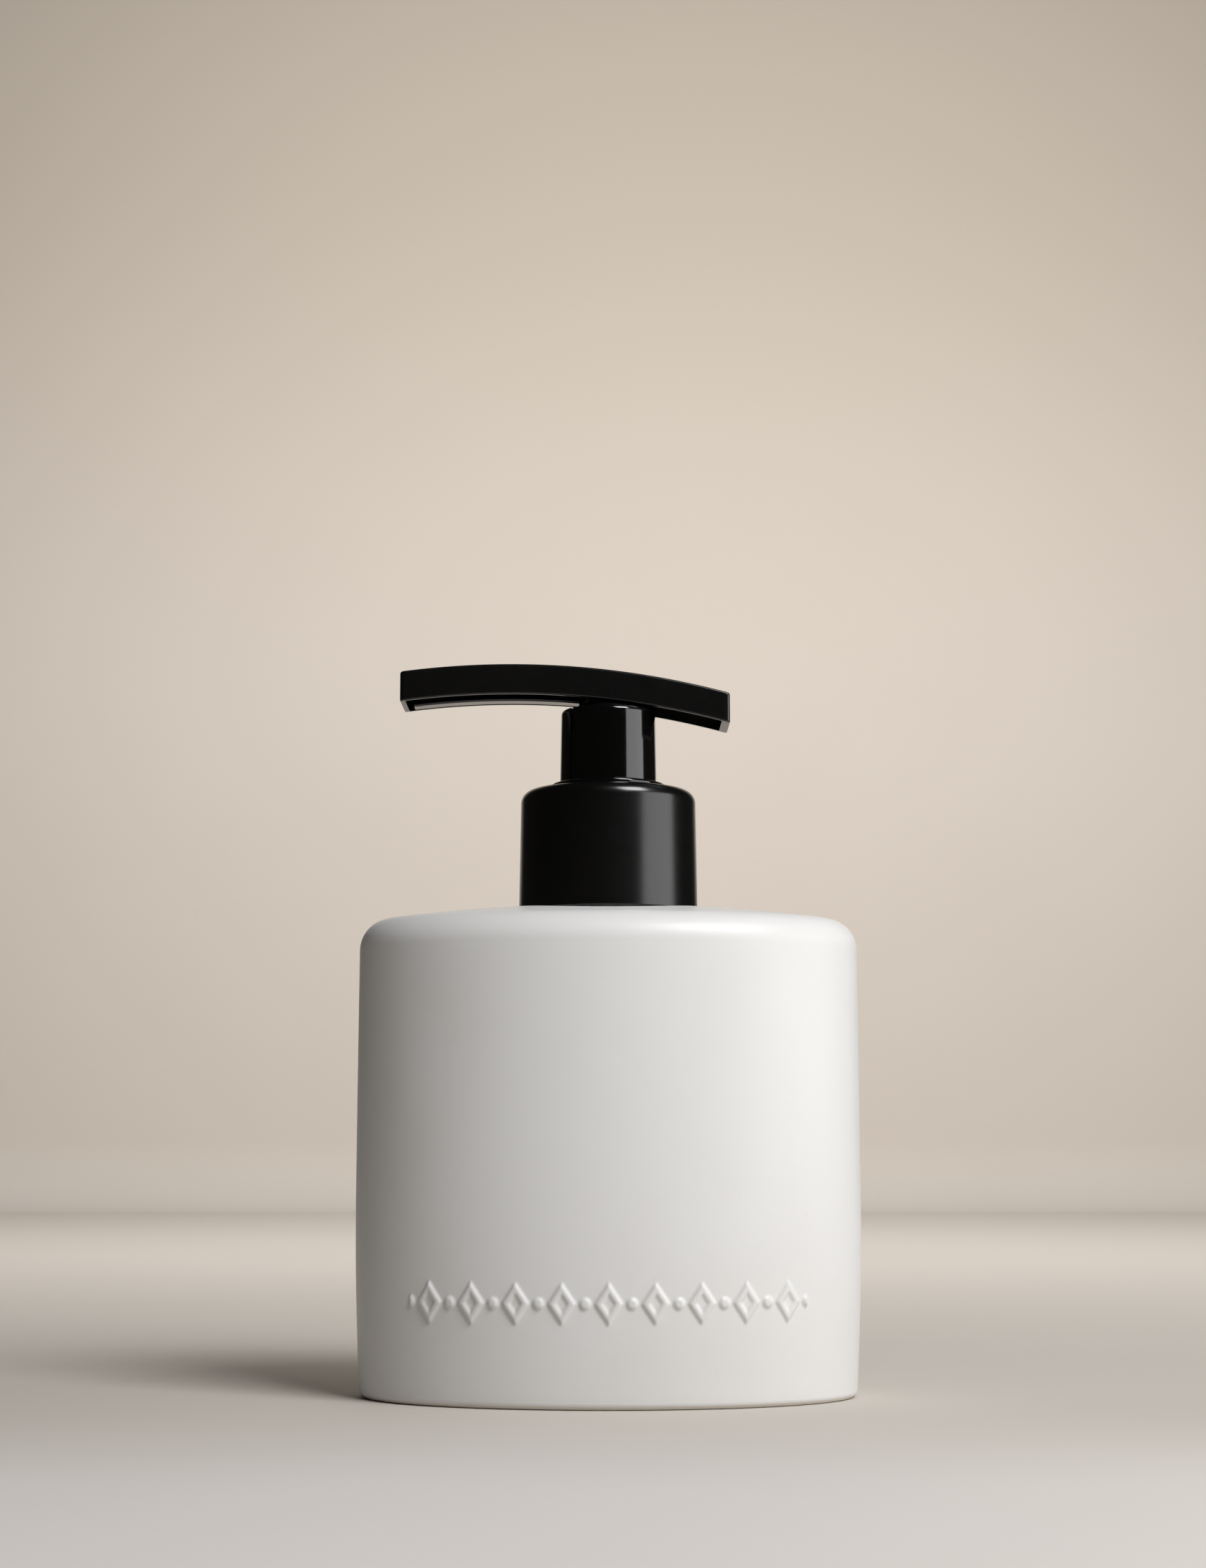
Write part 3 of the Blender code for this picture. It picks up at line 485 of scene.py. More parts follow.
def turned(
    name: str,
    outline: Sequence[Point],
    segments: int = 144,
    angles: Sequence[float] | None = None,
    shape: Callable[[float, float, float], Point] | None = None,
) -> Object:
    """Turns an outline of (radius, height) points about the Z axis.

    Args:
        name: the piece's name.
        outline: the closed section.
        segments: number of steps round the axis.
        angles: the steps' own angles, where they aren't even.
        shape: changes (radius, height) at an angle, for slots and flats.

    Returns:
        The turned piece.
    """
    angles = angles or even_angles(segments)
    rings: list[Ring] = []
    for radius, z in outline:
        ring = []
        for a in angles:
            r, h = shape(a, radius, z) if shape else (radius, z)
            ring.append((r * math.cos(a), r * math.sin(a), h))
        rings.append(ring)
    bm = bmesh.new()
    loft(bm, rings, closed=True)
    return to_object(name, bm)


def bake(obj: Object) -> Object:
    """Turns a piece with live modifiers into a plain mesh.

    Args:
        obj: the piece.

    Returns:
        The same object, without modifiers.
    """
    bpy.context.view_layer.update()
    graph = bpy.context.evaluated_depsgraph_get()
    live = obj.evaluated_get(graph)
    mesh = bpy.data.meshes.new_from_object(live, preserve_all_data_layers=True, depsgraph=graph)
    obj.modifiers.clear()
    obj.data = mesh
    mesh.name = obj.name
    return obj


class GeometryGraph(NodeGraph):
    """A Geometry Nodes tree with named inputs, which ends in Realize Instances and Set Material."""

    def __init__(self, name: str, sizes: dict[str, float | int]) -> None:
        """Makes the tree and its inputs.

        Args:
            name: the tree's name.
            sizes: the named inputs and their values.
        """
        super().__init__(bpy.data.node_groups.new(name, "GeometryNodeTree"))
        face = self.tree.interface
        face.new_socket("Geometry", in_out="INPUT", socket_type="NodeSocketGeometry")
        self.sizes = sizes
        self.sockets = {}
        for label, value in sizes.items():
            kind = "NodeSocketInt" if isinstance(value, int) else "NodeSocketFloat"
            self.sockets[label] = face.new_socket(label, in_out="INPUT", socket_type=kind)
        face.new_socket("Geometry", in_out="OUTPUT", socket_type="NodeSocketGeometry")
        self.given = self.add("NodeGroupInput").outputs

    def finish(self, result: object, obj: Object, material: Material) -> Object:
        """Closes the tree, runs it on an object and keeps the plain result.

        Args:
            result: the socket that carries the geometry.
            obj: the object that gets the modifier.
            material: the finish of the result.

        Returns:
            The object with its final mesh.
        """
        real = self.add("GeometryNodeRealizeInstances", {0: result})
        smooth = self.add("GeometryNodeSetShadeSmooth", {0: real})
        dressed = self.add("GeometryNodeSetMaterial", {0: smooth, "Material": material})
        self.add("NodeGroupOutput", {0: dressed})
        modifier = obj.modifiers.new(self.tree.name, "NODES")
        modifier.node_group = self.tree
        for label, value in self.sizes.items():
            modifier[self.sockets[label].identifier] = value
        return bake(obj)


def blank(name: str) -> Object:
    """An empty mesh object for a Geometry Nodes tree to fill."""
    obj = bpy.data.objects.new(name, bpy.data.meshes.new(name))
    bpy.context.scene.collection.objects.link(obj)
    return obj


def merge(name: str, pieces: Sequence[Object]) -> Object:
    """Joins the meshes of several pieces into one object.

    Args:
        name: the joined piece's name.
        pieces: objects at the origin, which are removed.

    Returns:
        The joined object.
    """
    bm = bmesh.new()
    for piece in pieces:
        bm.from_mesh(piece.data)
        bpy.data.objects.remove(piece)
    return to_object(name, bm)


def install(obj: Object, body: Body, slot: Slot, *nodes: str) -> None:
    """Fits a piece to the frame and reports it.

    Args:
        obj: the finished piece.
        body: the body that it rides on.
        slot: the material slot that it takes its finish from.
        *nodes: the CAD nodes that it stands for.
    """
    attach(obj, body.value)
    for node in nodes:
        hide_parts(node)
    log.info("%s: %d faces on %s, in %s", obj.name, len(obj.data.polygons), body.value, slot.value)


# ---------------------------------------------------------------- bottle
@dataclass
class CeramicBottle:
    """The oval glazed bottle with a row of raised ornament near its foot."""

    finishes: Finishes
    shoulder_z: float = 91.2 * MM
    dome_rise: float = 2.8 * MM
    shoulder_radius: float = 6.0 * MM
    foot_radius: float = 1.4 * MM
    foot_taper: float = 1.2 * MM
    shoulder_taper: float = 0.15 * MM
    belly_z: float = 38.0 * MM
    wall: float = 4.0 * MM
    floor: float = 5.0 * MM
    inner_corner: float = 3.6 * MM
    foot_ring: float = 6.0 * MM
    foot_recess: float = 1.0 * MM
    seat_r: float = 18.5 * MM
    seat_slope: float = 0.4 * MM
    rim_outer: float = 15.6 * MM
    rim_bore: float = 13.9 * MM
    band_low: float = 13.4 * MM
    band_high: float = 24.6 * MM
    band_half_angle: float = 56.0
    band_columns: int = 336
    other_columns: int = 96
    band_step: float = 0.27 * MM

    def __post_init__(self) -> None:
        """Takes the outer size from the frame and sets the columns."""
        low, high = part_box("bottle")
        self.half_x, self.half_y, self.rim_z = high.x, high.y, high.z
        share = self.seat_r / (high.y - self.shoulder_taper - self.shoulder_radius)
        self.seat_z = self.shoulder_z + self.dome_rise * (1 - share**2)
        half = self.band_half_angle
        front = [-90 - half + 2 * half * i / self.band_columns for i in range(self.band_columns)]
        rest = 360 - 2 * half
        back = [-90 + half + rest * i / self.other_columns for i in range(self.other_columns)]
        self.angles = [math.radians(a) for a in front + back]

    def inset(self, z: float) -> float:
        """How far the side lies inside its widest section at height z."""
        if z < self.belly_z:
            return self.foot_taper * (1 - z / self.belly_z) ** 2
        return self.shoulder_taper * ((z - self.belly_z) / (self.shoulder_z - self.belly_z)) ** 2

    def oval(self, inset: float, z: float) -> Ring:
        """A level oval section, drawn in by inset on every side."""
        a, b = self.half_x - inset, self.half_y - inset
        return [(a * math.cos(t), b * math.sin(t), z) for t in self.angles]

    def round(self, radius: float, z: float) -> Ring:
        """A level round section."""
        return [(radius * math.cos(t), radius * math.sin(t), z) for t in self.angles]

    def dome(self, share: float) -> Ring:
        """A ring of the domed top, from the collar's seat (share 0) to the shoulder (share 1)."""
        edge = self.inset(self.shoulder_z) + self.shoulder_radius
        a, b = self.half_x - edge, self.half_y - edge
        ring = []
        for (ex, ey, _), (rx, ry, _) in zip(self.oval(edge, 0), self.round(self.seat_r, 0)):
            x, y = rx + (ex - rx) * share, ry + (ey - ry) * share
            fall = min(1.0, (x / a) ** 2 + (y / b) ** 2)
            ring.append((x, y, self.shoulder_z + self.dome_rise * (1 - fall)))
        return ring

    def outside(self) -> list[Ring]:
        """The rings of the outside, from the middle of the foot to the mouth's rim."""
        outer = self.inset(0) + self.foot_radius
        inner = outer + self.foot_ring
        rings: list[Ring] = [[(0.0, 0.0, self.foot_recess)]]
        rings += [self.oval(inner + 4 * self.foot_recess, self.foot_recess)]
        corners = [(inner + self.foot_recess, self.foot_recess, 0.5 * MM), (inner, 0.0, 0.4 * MM)]
        path = [(inner + 3 * self.foot_recess, self.foot_recess, 0), *corners, (outer, 0.0, 0)]
        rings += [self.oval(i, z) for i, z in rounded(path, 4, closed=False)]
        for r, z in arc((0, self.foot_radius), self.foot_radius, -90, 0, 8)[1:]:
            rings.append(self.oval(self.inset(z) + self.foot_radius - r, z))
        top = self.shoulder_z - self.shoulder_radius
        for low, high, step in (
            (self.foot_radius, self.band_low, 2.0 * MM),
            (self.band_low, self.band_high, self.band_step),
            (self.band_high, top, 3.2 * MM),
        ):
            count = round((high - low) / step)
            heights = [low + (high - low) * (i + 1) / count for i in range(count)]
            rings += [self.oval(self.inset(z), z) for z in heights]
        for r, z in arc((0, top), self.shoulder_radius, 0, 90, 18)[1:]:
            rings.append(self.oval(self.inset(z) + self.shoulder_radius - r, z))
        rings += [self.dome(share) for share in (0.97, 0.92, 0.85, 0.75, 0.6, 0.45, 0.3, 0.2, 0.12, 0.06)]
        rings += [self.dome(0.02), self.dome(0.0)]
        seat = [(self.seat_r - self.seat_slope, self.seat_z, 0), (self.rim_outer, self.seat_z, 0.4 * MM)]
        seat.append((self.rim_outer, self.rim_z - MM, 0))
        rings += [self.round(r, z) for r, z in rounded(seat, 5, closed=False)[:-1]]
        return rings

    def inside(self) -> list[Ring]:
        """The rings of the rim, the mouth and the soap space."""
        roof = self.shoulder_z - self.wall
        low = self.wall + self.foot_taper
        rim = [(self.rim_outer, self.rim_z - MM, 0), (self.rim_outer, self.rim_z, 0.5 * MM)]
        rim += [(self.rim_bore, self.rim_z, 0.5 * MM), (self.rim_bore, roof, 0)]
        rings = [self.round(r, z) for r, z in rounded(rim, 5, closed=False)]
        corner = [(self.wall + 4 * MM, roof, 0), (self.wall, roof, self.inner_corner)]
        corner.append((self.wall, roof - 2 * self.inner_corner, 0))
        rings += [self.oval(i, z) for i, z in rounded(corner, 6, closed=False)]
        rings.append(self.oval(self.wall, (roof + self.floor) / 2))
        corner = [(low, self.floor + 2 * self.inner_corner, 0), (low, self.floor, self.inner_corner)]
        corner.append((low + 2 * self.inner_corner, self.floor, 0))
        rings += [self.oval(i, z) for i, z in rounded(corner, 6, closed=False)]
        rings.append([(0.0, 0.0, self.floor)])
        return rings

    def front_lengths(self) -> list[float]:
        """The distance of each column along the surface from the middle of the front."""
        out = []
        for t in self.angles:
            turn = math.remainder(t + math.pi / 2, 2 * math.pi)
            steps = 40
            total = 0.0
            for k in range(steps):
                at = -math.pi / 2 + turn * (k + 0.5) / steps
                total += math.hypot(self.half_x * math.sin(at), self.half_y * math.cos(at)) * turn / steps
            out.append(total)
        return out

    def ornament(self, obj: Object) -> Object:
        """Raises a row of lozenges and dots out of the front, with soft glazed edges.

        Args:
            obj: the plain bottle, with each point's place along the front.

        Returns:
            The bottle with its ornament in the mesh.
        """
        sizes = {"Pitch": 8.6 * MM, "Motifs": 9, "Middle": 19.0 * MM, "Half Height": 4.2 * MM}
        sizes |= {"Half Width": 2.9 * MM, "Dot": 0.95 * MM, "Relief": 0.45 * MM, "Edge": 0.75 * MM}
        g = GeometryGraph("raised_ornament", sizes)
        given = g.given
        named = g.add("GeometryNodeInputNamedAttribute", {0: "band_place"}, data_type="FLOAT")
        along = next(out for out in named.outputs if out.enabled and out.name == "Attribute")
        position = g.add("GeometryNodeInputPosition")
        up = g.add("ShaderNodeSeparateXYZ", {0: position}).outputs["Z"]
        v = g.math("ABSOLUTE", g.math("SUBTRACT", up, given["Middle"]))
        share = g.math("DIVIDE", along, given["Pitch"])
        off = g.math("SUBTRACT", share, g.math("ROUND", share))
        u = g.math("ABSOLUTE", g.math("MULTIPLY", off, given["Pitch"]))
        wide = g.math("DIVIDE", u, given["Half Width"])
        spread = g.math("ADD", wide, g.math("DIVIDE", v, given["Half Height"]))
        depth = g.math("MULTIPLY", g.math("SUBTRACT", 1.0, spread), given["Half Width"])
        lozenge = g.ramp(depth, 0.0, given["Edge"])
        hollow = g.ramp(depth, 1.35 * MM, 2.1 * MM)
        lozenge = g.math("SUBTRACT", lozenge, g.math("MULTIPLY", hollow, 0.75))
        across = g.math("SUBTRACT", g.math("MULTIPLY", given["Pitch"], 0.5), u)
        far = g.math("SQRT", g.math("ADD", g.math("MULTIPLY", across, across), g.math("MULTIPLY", v, v)))
        dot = g.ramp(g.math("SUBTRACT", given["Dot"], far), g.math("MULTIPLY", given["Edge"], -0.5), 0.4 * MM)
        raised = g.math("MAXIMUM", lozenge, dot)
        reach = g.math("MULTIPLY", given["Pitch"], g.math("DIVIDE", given["Motifs"], 2.0))
        within = g.math("LESS_THAN", g.math("ABSOLUTE", along), reach)
        facing = g.math("LESS_THAN", v, 1.2 * 4.2 * MM)
        amount = g.math("MULTIPLY", raised, given["Relief"])
        amount = g.math("MULTIPLY", amount, g.math("MULTIPLY", within, facing))
        normal = g.add("GeometryNodeInputNormal")
        push = g.add("ShaderNodeVectorMath", {0: normal.outputs[0], "Scale": amount}, operation="SCALE")
        moved = g.add("GeometryNodeSetPosition", {0: given["Geometry"], "Offset": push})
        return g.finish(moved, obj, self.finishes.by_slot[Slot.GLAZE])

    def build(self) -> None:
        """Builds the bottle and puts it in place of its CAD node."""
        bm = bmesh.new()
        place = bm.verts.layers.float.new("band_place")
        outer = self.outside()
        made = loft(bm, outer + self.inside())
        lengths = self.front_lengths()
        for index, ring in enumerate(made):
            for vert, length in zip(ring, lengths if len(ring) > 1 else [1.0]):
                vert[place] = length if index < len(outer) else 1.0
        obj = self.ornament(to_object("glazed_bottle", bm, sharp=60))
        install(obj, Body.BASE, Slot.GLAZE, "bottle")


# ---------------------------------------------------------------- threads, ribs and springs
def spiral(g: GeometryGraph, resolution: int, rise: object, lift: object) -> Socket:
    """A spiral path round the Z axis, with the tree's own Radius and Turns.

    Args:
        g: the tree that it stands in.
        resolution: points in one turn.
        rise: the even rise of the whole path.
        lift: height added at each point.

    Returns:
        The path, turned so that a section stays upright along it.
    """
    inputs = {"Resolution": resolution, "Rotations": g.given["Turns"], "Height": rise}
    inputs |= {"Start Radius": g.given["Radius"], "End Radius": g.given["Radius"]}
    path = g.add("GeometryNodeCurveSpiral", inputs)
    lifted = g.add("ShaderNodeCombineXYZ", {"Z": lift})
    path = g.add("GeometryNodeSetPosition", {0: path, "Offset": lifted})
    return g.add("GeometryNodeSetCurveNormal", {0: path}, mode="Z_UP")


def thread(name: str, root: float, crest: float, start: float, material: Material) -> Object:
    """A helical thread ridge, run along a spiral path.

    Args:
        name: the piece's name.
        root: radius of the wall that carries it.
        crest: radius of its crest, inside the root on an inner thread.
        start: height of its first point.
        material: its finish.

    Returns:
        The ridge.
    """
    sizes = {"Radius": (root + crest) / 2, "Turns": 1.6, "Rise": 1.6 * 4.23 * MM, "Start": start}
    sizes |= {"Height": abs(crest - root) + 0.2 * MM, "Width": 1.2 * MM}
    g = GeometryGraph(name + "_path", sizes)
    path = spiral(g, 72, g.given["Rise"], g.given["Start"])
    sides = {"Width": g.given["Height"], "Height": g.given["Width"]}
    section = g.add("GeometryNodeCurvePrimitiveQuadrilateral", sides)
    section = g.add("GeometryNodeFilletCurve", {0: section, "Radius": 0.28 * MM, "Count": 3}, mode="POLY")
    ridge = g.add("GeometryNodeCurveToMesh", {0: path, "Profile Curve": section, "Fill Caps": True})
    return g.finish(ridge, blank(name), material)


def ribs(name: str, radius: float, low: float, high: float, count: int, material: Material) -> Object:
    """Fine upright grip ribs round a cylinder.

    Args:
        name: the piece's name.
        radius: the cylinder's radius.
        low: foot of the ribs.
        high: top of the ribs.
        count: number of ribs.
        material: their finish.

    Returns:
        The ribs, in one object.
    """
    sizes = {"Radius": radius, "Count": count, "Rib": 0.22 * MM}
    sizes |= {"Length": high - low, "Middle": (high + low) / 2}
    g = GeometryGraph(name + "_array", sizes)
    inputs = {"Resolution": g.given["Count"], "Radius": g.given["Radius"]}
    circle = g.add("GeometryNodeCurvePrimitiveCircle", inputs)
    points = g.add("GeometryNodeCurveToPoints", {0: circle}, mode="EVALUATED")
    inputs = {"Vertices": 8, "Radius": g.given["Rib"], "Depth": g.given["Length"]}
    rod = g.add("GeometryNodeMeshCylinder", inputs)
    placed = g.add("GeometryNodeInstanceOnPoints", {"Points": points.outputs[0], "Instance": rod.outputs[0]})
    lift = g.add("ShaderNodeCombineXYZ", {"Z": g.given["Middle"]})
    moved = g.add("GeometryNodeTranslateInstances", {0: placed, "Translation": lift, "Local Space": False})
    return g.finish(moved, blank(name), material)


@dataclass
class Spring:
    """The compression spring: a wire along a spiral whose end turns lie close."""

    mean_radius: float = 5.0 * MM
    wire: float = 0.5 * MM
    turns: int = 7
    closed_share: float = 0.35

    def build(self, material: Material) -> Object:
        """Builds the wire between the heights of its CAD node.

        Args:
            material: the wire's finish.

        Returns:
            The spring.
        """
        low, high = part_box("spring")
        rise = high.z - low.z - 2 * self.wire
        sizes = {"Radius": self.mean_radius, "Turns": float(self.turns), "Rise": rise}
        sizes |= {"Foot": low.z + self.wire, "Wire": self.wire, "Evenness": self.closed_share}
        g = GeometryGraph("spring_path", sizes)
        along = g.add("GeometryNodeSplineParameter").outputs["Factor"]
        eased = g.ramp(along, 0.0, 1.0)
        even = g.math("MULTIPLY", along, g.given["Evenness"])
        rest = g.math("MULTIPLY", eased, g.math("SUBTRACT", 1.0, g.given["Evenness"]))
        height = g.math("MULTIPLY_ADD", g.math("ADD", even, rest), g.given["Rise"], g.given["Foot"])
        path = spiral(g, 56, 0.0, height)
        wire = g.add("GeometryNodeCurvePrimitiveCircle", {"Resolution": 12, "Radius": g.given["Wire"]})
        coil = g.add("GeometryNodeCurveToMesh", {0: path, "Profile Curve": wire, "Fill Caps": True})
        return g.finish(coil, blank("spring_coil"), material)


# ---------------------------------------------------------------- neck, closure and pump core
@dataclass
class NeckFitting:
    """The threaded neck in the ceramic mouth and the two soft gaskets."""

    finishes: Finishes
    bore: float = 11.65 * MM
    outer: float = 12.9 * MM
    crest: float = 13.9 * MM
    plug: float = 13.6 * MM
    mouth_bore: float = 13.9 * MM
    flange_t: float = 1.2 * MM
    plug_depth: float = 9.2 * MM
    thread_start: float = 3.6 * MM
    soft_edge: float = 0.3 * MM

    def washer(self, node: str, body: Body) -> None:
        """Builds a gasket with soft edges in place of its CAD node.

        Args:
            node: the CAD node.
            body: the body that carries it.
        """
        low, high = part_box(node)
        inner = self.mouth_bore if node == "mouth_gasket" else self.bore
        edge = self.soft_edge
        corners = [(inner, low.z, edge), (high.x, low.z, edge), (high.x, high.z, edge), (inner, high.z, edge)]
        obj = turned(node + "_foam", rounded(corners, 4), 96)
        self.finishes.dress(obj, Slot.FOAM)
        install(obj, body, Slot.FOAM, node)

    def build(self) -> None:
        """Builds the neck with its thread, and both gaskets."""
        low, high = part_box("neck_insert")
        flange = low.z + self.plug_depth
        foot = flange + self.flange_t
        corners = [
            (self.bore, low.z, 0.4 * MM), (self.plug, low.z, 0.6 * MM), (self.plug, flange, 0.15 * MM),
            (high.x, flange, 0.25 * MM), (high.x, foot, 0.25 * MM), (self.outer, foot, 0.4 * MM),
            (self.outer, high.z, 0.35 * MM), (self.bore, high.z, 0.35 * MM),
        ]
        tube = turned("neck_tube", rounded(corners, 4), 120)
        white = self.finishes.by_slot[Slot.WHITE]
        ridge = thread("neck_ridge", self.outer, self.crest, foot + self.thread_start, white)
        obj = merge("threaded_neck", [tube, ridge])
        self.finishes.dress(obj, Slot.WHITE)
        install(obj, Body.BASE, Slot.WHITE, "neck_insert")
        self.washer("mouth_gasket", Body.BASE)
        self.washer("neck_gasket", Body.CORE)


@dataclass
class Closure:
    """The smooth black collar and the ribbed screw cap inside it."""

    finishes: Finishes
    shell_wall: float = 1.1 * MM
    plate: float = 1.6 * MM
    draft: float = 0.35 * MM
    edge_radius: float = 2.5 * MM
    hole: float = 10.9 * MM
    cap_outer: float = 15.85 * MM
    cap_bore: float = 14.2 * MM
    cap_plate: float = 1.4 * MM
    nest: float = 0.8 * MM
    rib_count: int = 72

    def collar(self) -> Object:
        """Builds the outer collar."""
        low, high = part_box("collar_shell")
        bore = high.x - self.shell_wall
        corners = [
            (bore, low.z, 0.2 * MM), (high.x, low.z, 0.3 * MM),
            (high.x - self.draft, high.z, self.edge_radius), (self.hole, high.z, 0.25 * MM),
            (self.hole, high.z - self.plate, 0.2 * MM), (bore, high.z - self.plate, self.nest),
        ]
        return turned("smooth_collar", rounded(corners, 12), 192)

    def cap(self) -> Object:
        """Builds the screw cap with its inner thread and its grip ribs."""
        low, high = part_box("screw_cap")
        corners = [
            (self.cap_bore, low.z, 0.3 * MM), (self.cap_outer, low.z, 0.3 * MM),
            (self.cap_outer, high.z, self.nest), (self.hole, high.z, 0.2 * MM),
            (self.hole, high.z - self.cap_plate, 0.2 * MM),
            (self.cap_bore, high.z - self.cap_plate, 0.3 * MM),
        ]
        white = self.finishes.by_slot[Slot.WHITE]
        wall = turned("cap_wall", rounded(corners, 4), 120)
        start = low.z + 3.0 * MM - 1.75 * MM
        ridge = thread("cap_ridge", self.cap_bore, self.cap_bore - 1.0 * MM, start, white)
        grip = ribs("cap_grip", self.cap_outer, low.z + 0.6 * MM, high.z - 1.2 * MM, self.rib_count, white)
        return merge("ribbed_screw_cap", [wall, ridge, grip])

    def build(self) -> None:
        """Builds both pieces of the closure."""
        collar = self.collar()
        self.finishes.dress(collar, Slot.SATIN)
        install(collar, Body.CLOSURE, Slot.SATIN, "collar_shell")
        cap = self.cap()
        self.finishes.dress(cap, Slot.WHITE)
        install(cap, Body.CLOSURE, Slot.WHITE, "screw_cap")


@dataclass
class PumpCore:
    """The housing with its lock ring, dip tube, valve cage and spring."""

    finishes: Finishes
    ring_bore: float = 9.9 * MM
    ring_skirt: float = 10.5 * MM
    ring_flange_t: float = 1.0 * MM
    ring_floor: float = 1.1 * MM
    stem_hole: float = 3.4 * MM
    stroke: float = 11.0 * MM
    kept: dict[str, Slot] = field(default_factory=lambda: {
        "pump_housing": Slot.CLEAR, "dip_tube": Slot.CLEAR, "ball_cage": Slot.WHITE, "inlet_ball": Slot.STEEL,
    })

    def lock_ring(self) -> Object:
        """Builds the lock ring with a rounded flange and a thin guide lip round the sleeve."""
        low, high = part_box("lock_ring")
        flange = high.z - self.ring_flange_t
        corners = [
            (self.stem_hole, low.z, 0.2 * MM), (self.ring_skirt, low.z, 0.5 * MM),
            (self.ring_skirt, flange, 0.15 * MM), (high.x, flange, 0.3 * MM),
            (high.x, high.z, 0.45 * MM), (self.ring_bore + 0.55 * MM, high.z, 0.15 * MM),
            (self.ring_bore + 0.35 * MM, high.z + 0.2 * MM, 0.1 * MM),
            (self.ring_bore, high.z + 0.2 * MM, 0.08 * MM),
            (self.ring_bore, low.z + self.ring_floor, 0.5 * MM),
            (self.stem_hole, low.z + self.ring_floor, 0.2 * MM),
        ]
        return turned("lock_ring_guide", rounded(corners, 6), 160)

    def build(self) -> None:
        """Builds the ring and the spring, and dresses the hidden pieces of the core."""
        ring = self.lock_ring()
        self.finishes.dress(ring, Slot.GLOSS)
        install(ring, Body.CORE, Slot.GLOSS, "lock_ring")
        coil = Spring().build(self.finishes.by_slot[Slot.STEEL])
        install(coil, Body.CORE, Slot.STEEL, "spring")
        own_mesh(coil)
        for node, slot in self.kept.items():
            self.finishes.dress(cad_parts[node], slot)
            log.info("%s: CAD mesh kept, in %s", node, slot.value)


@dataclass
class StemRod:
    """The hollow stem, its foot plug and the sliding piston."""

    finishes: Finishes
    nodes: tuple[str, ...] = ("stem", "stem_plug", "piston")

    def build(self) -> None:
        """Dresses the CAD meshes, which have their final shape."""
        for node in self.nodes:
            self.finishes.dress(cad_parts[node], Slot.WHITE)
            log.info("%s: CAD mesh kept, in %s", node, Slot.WHITE.value)


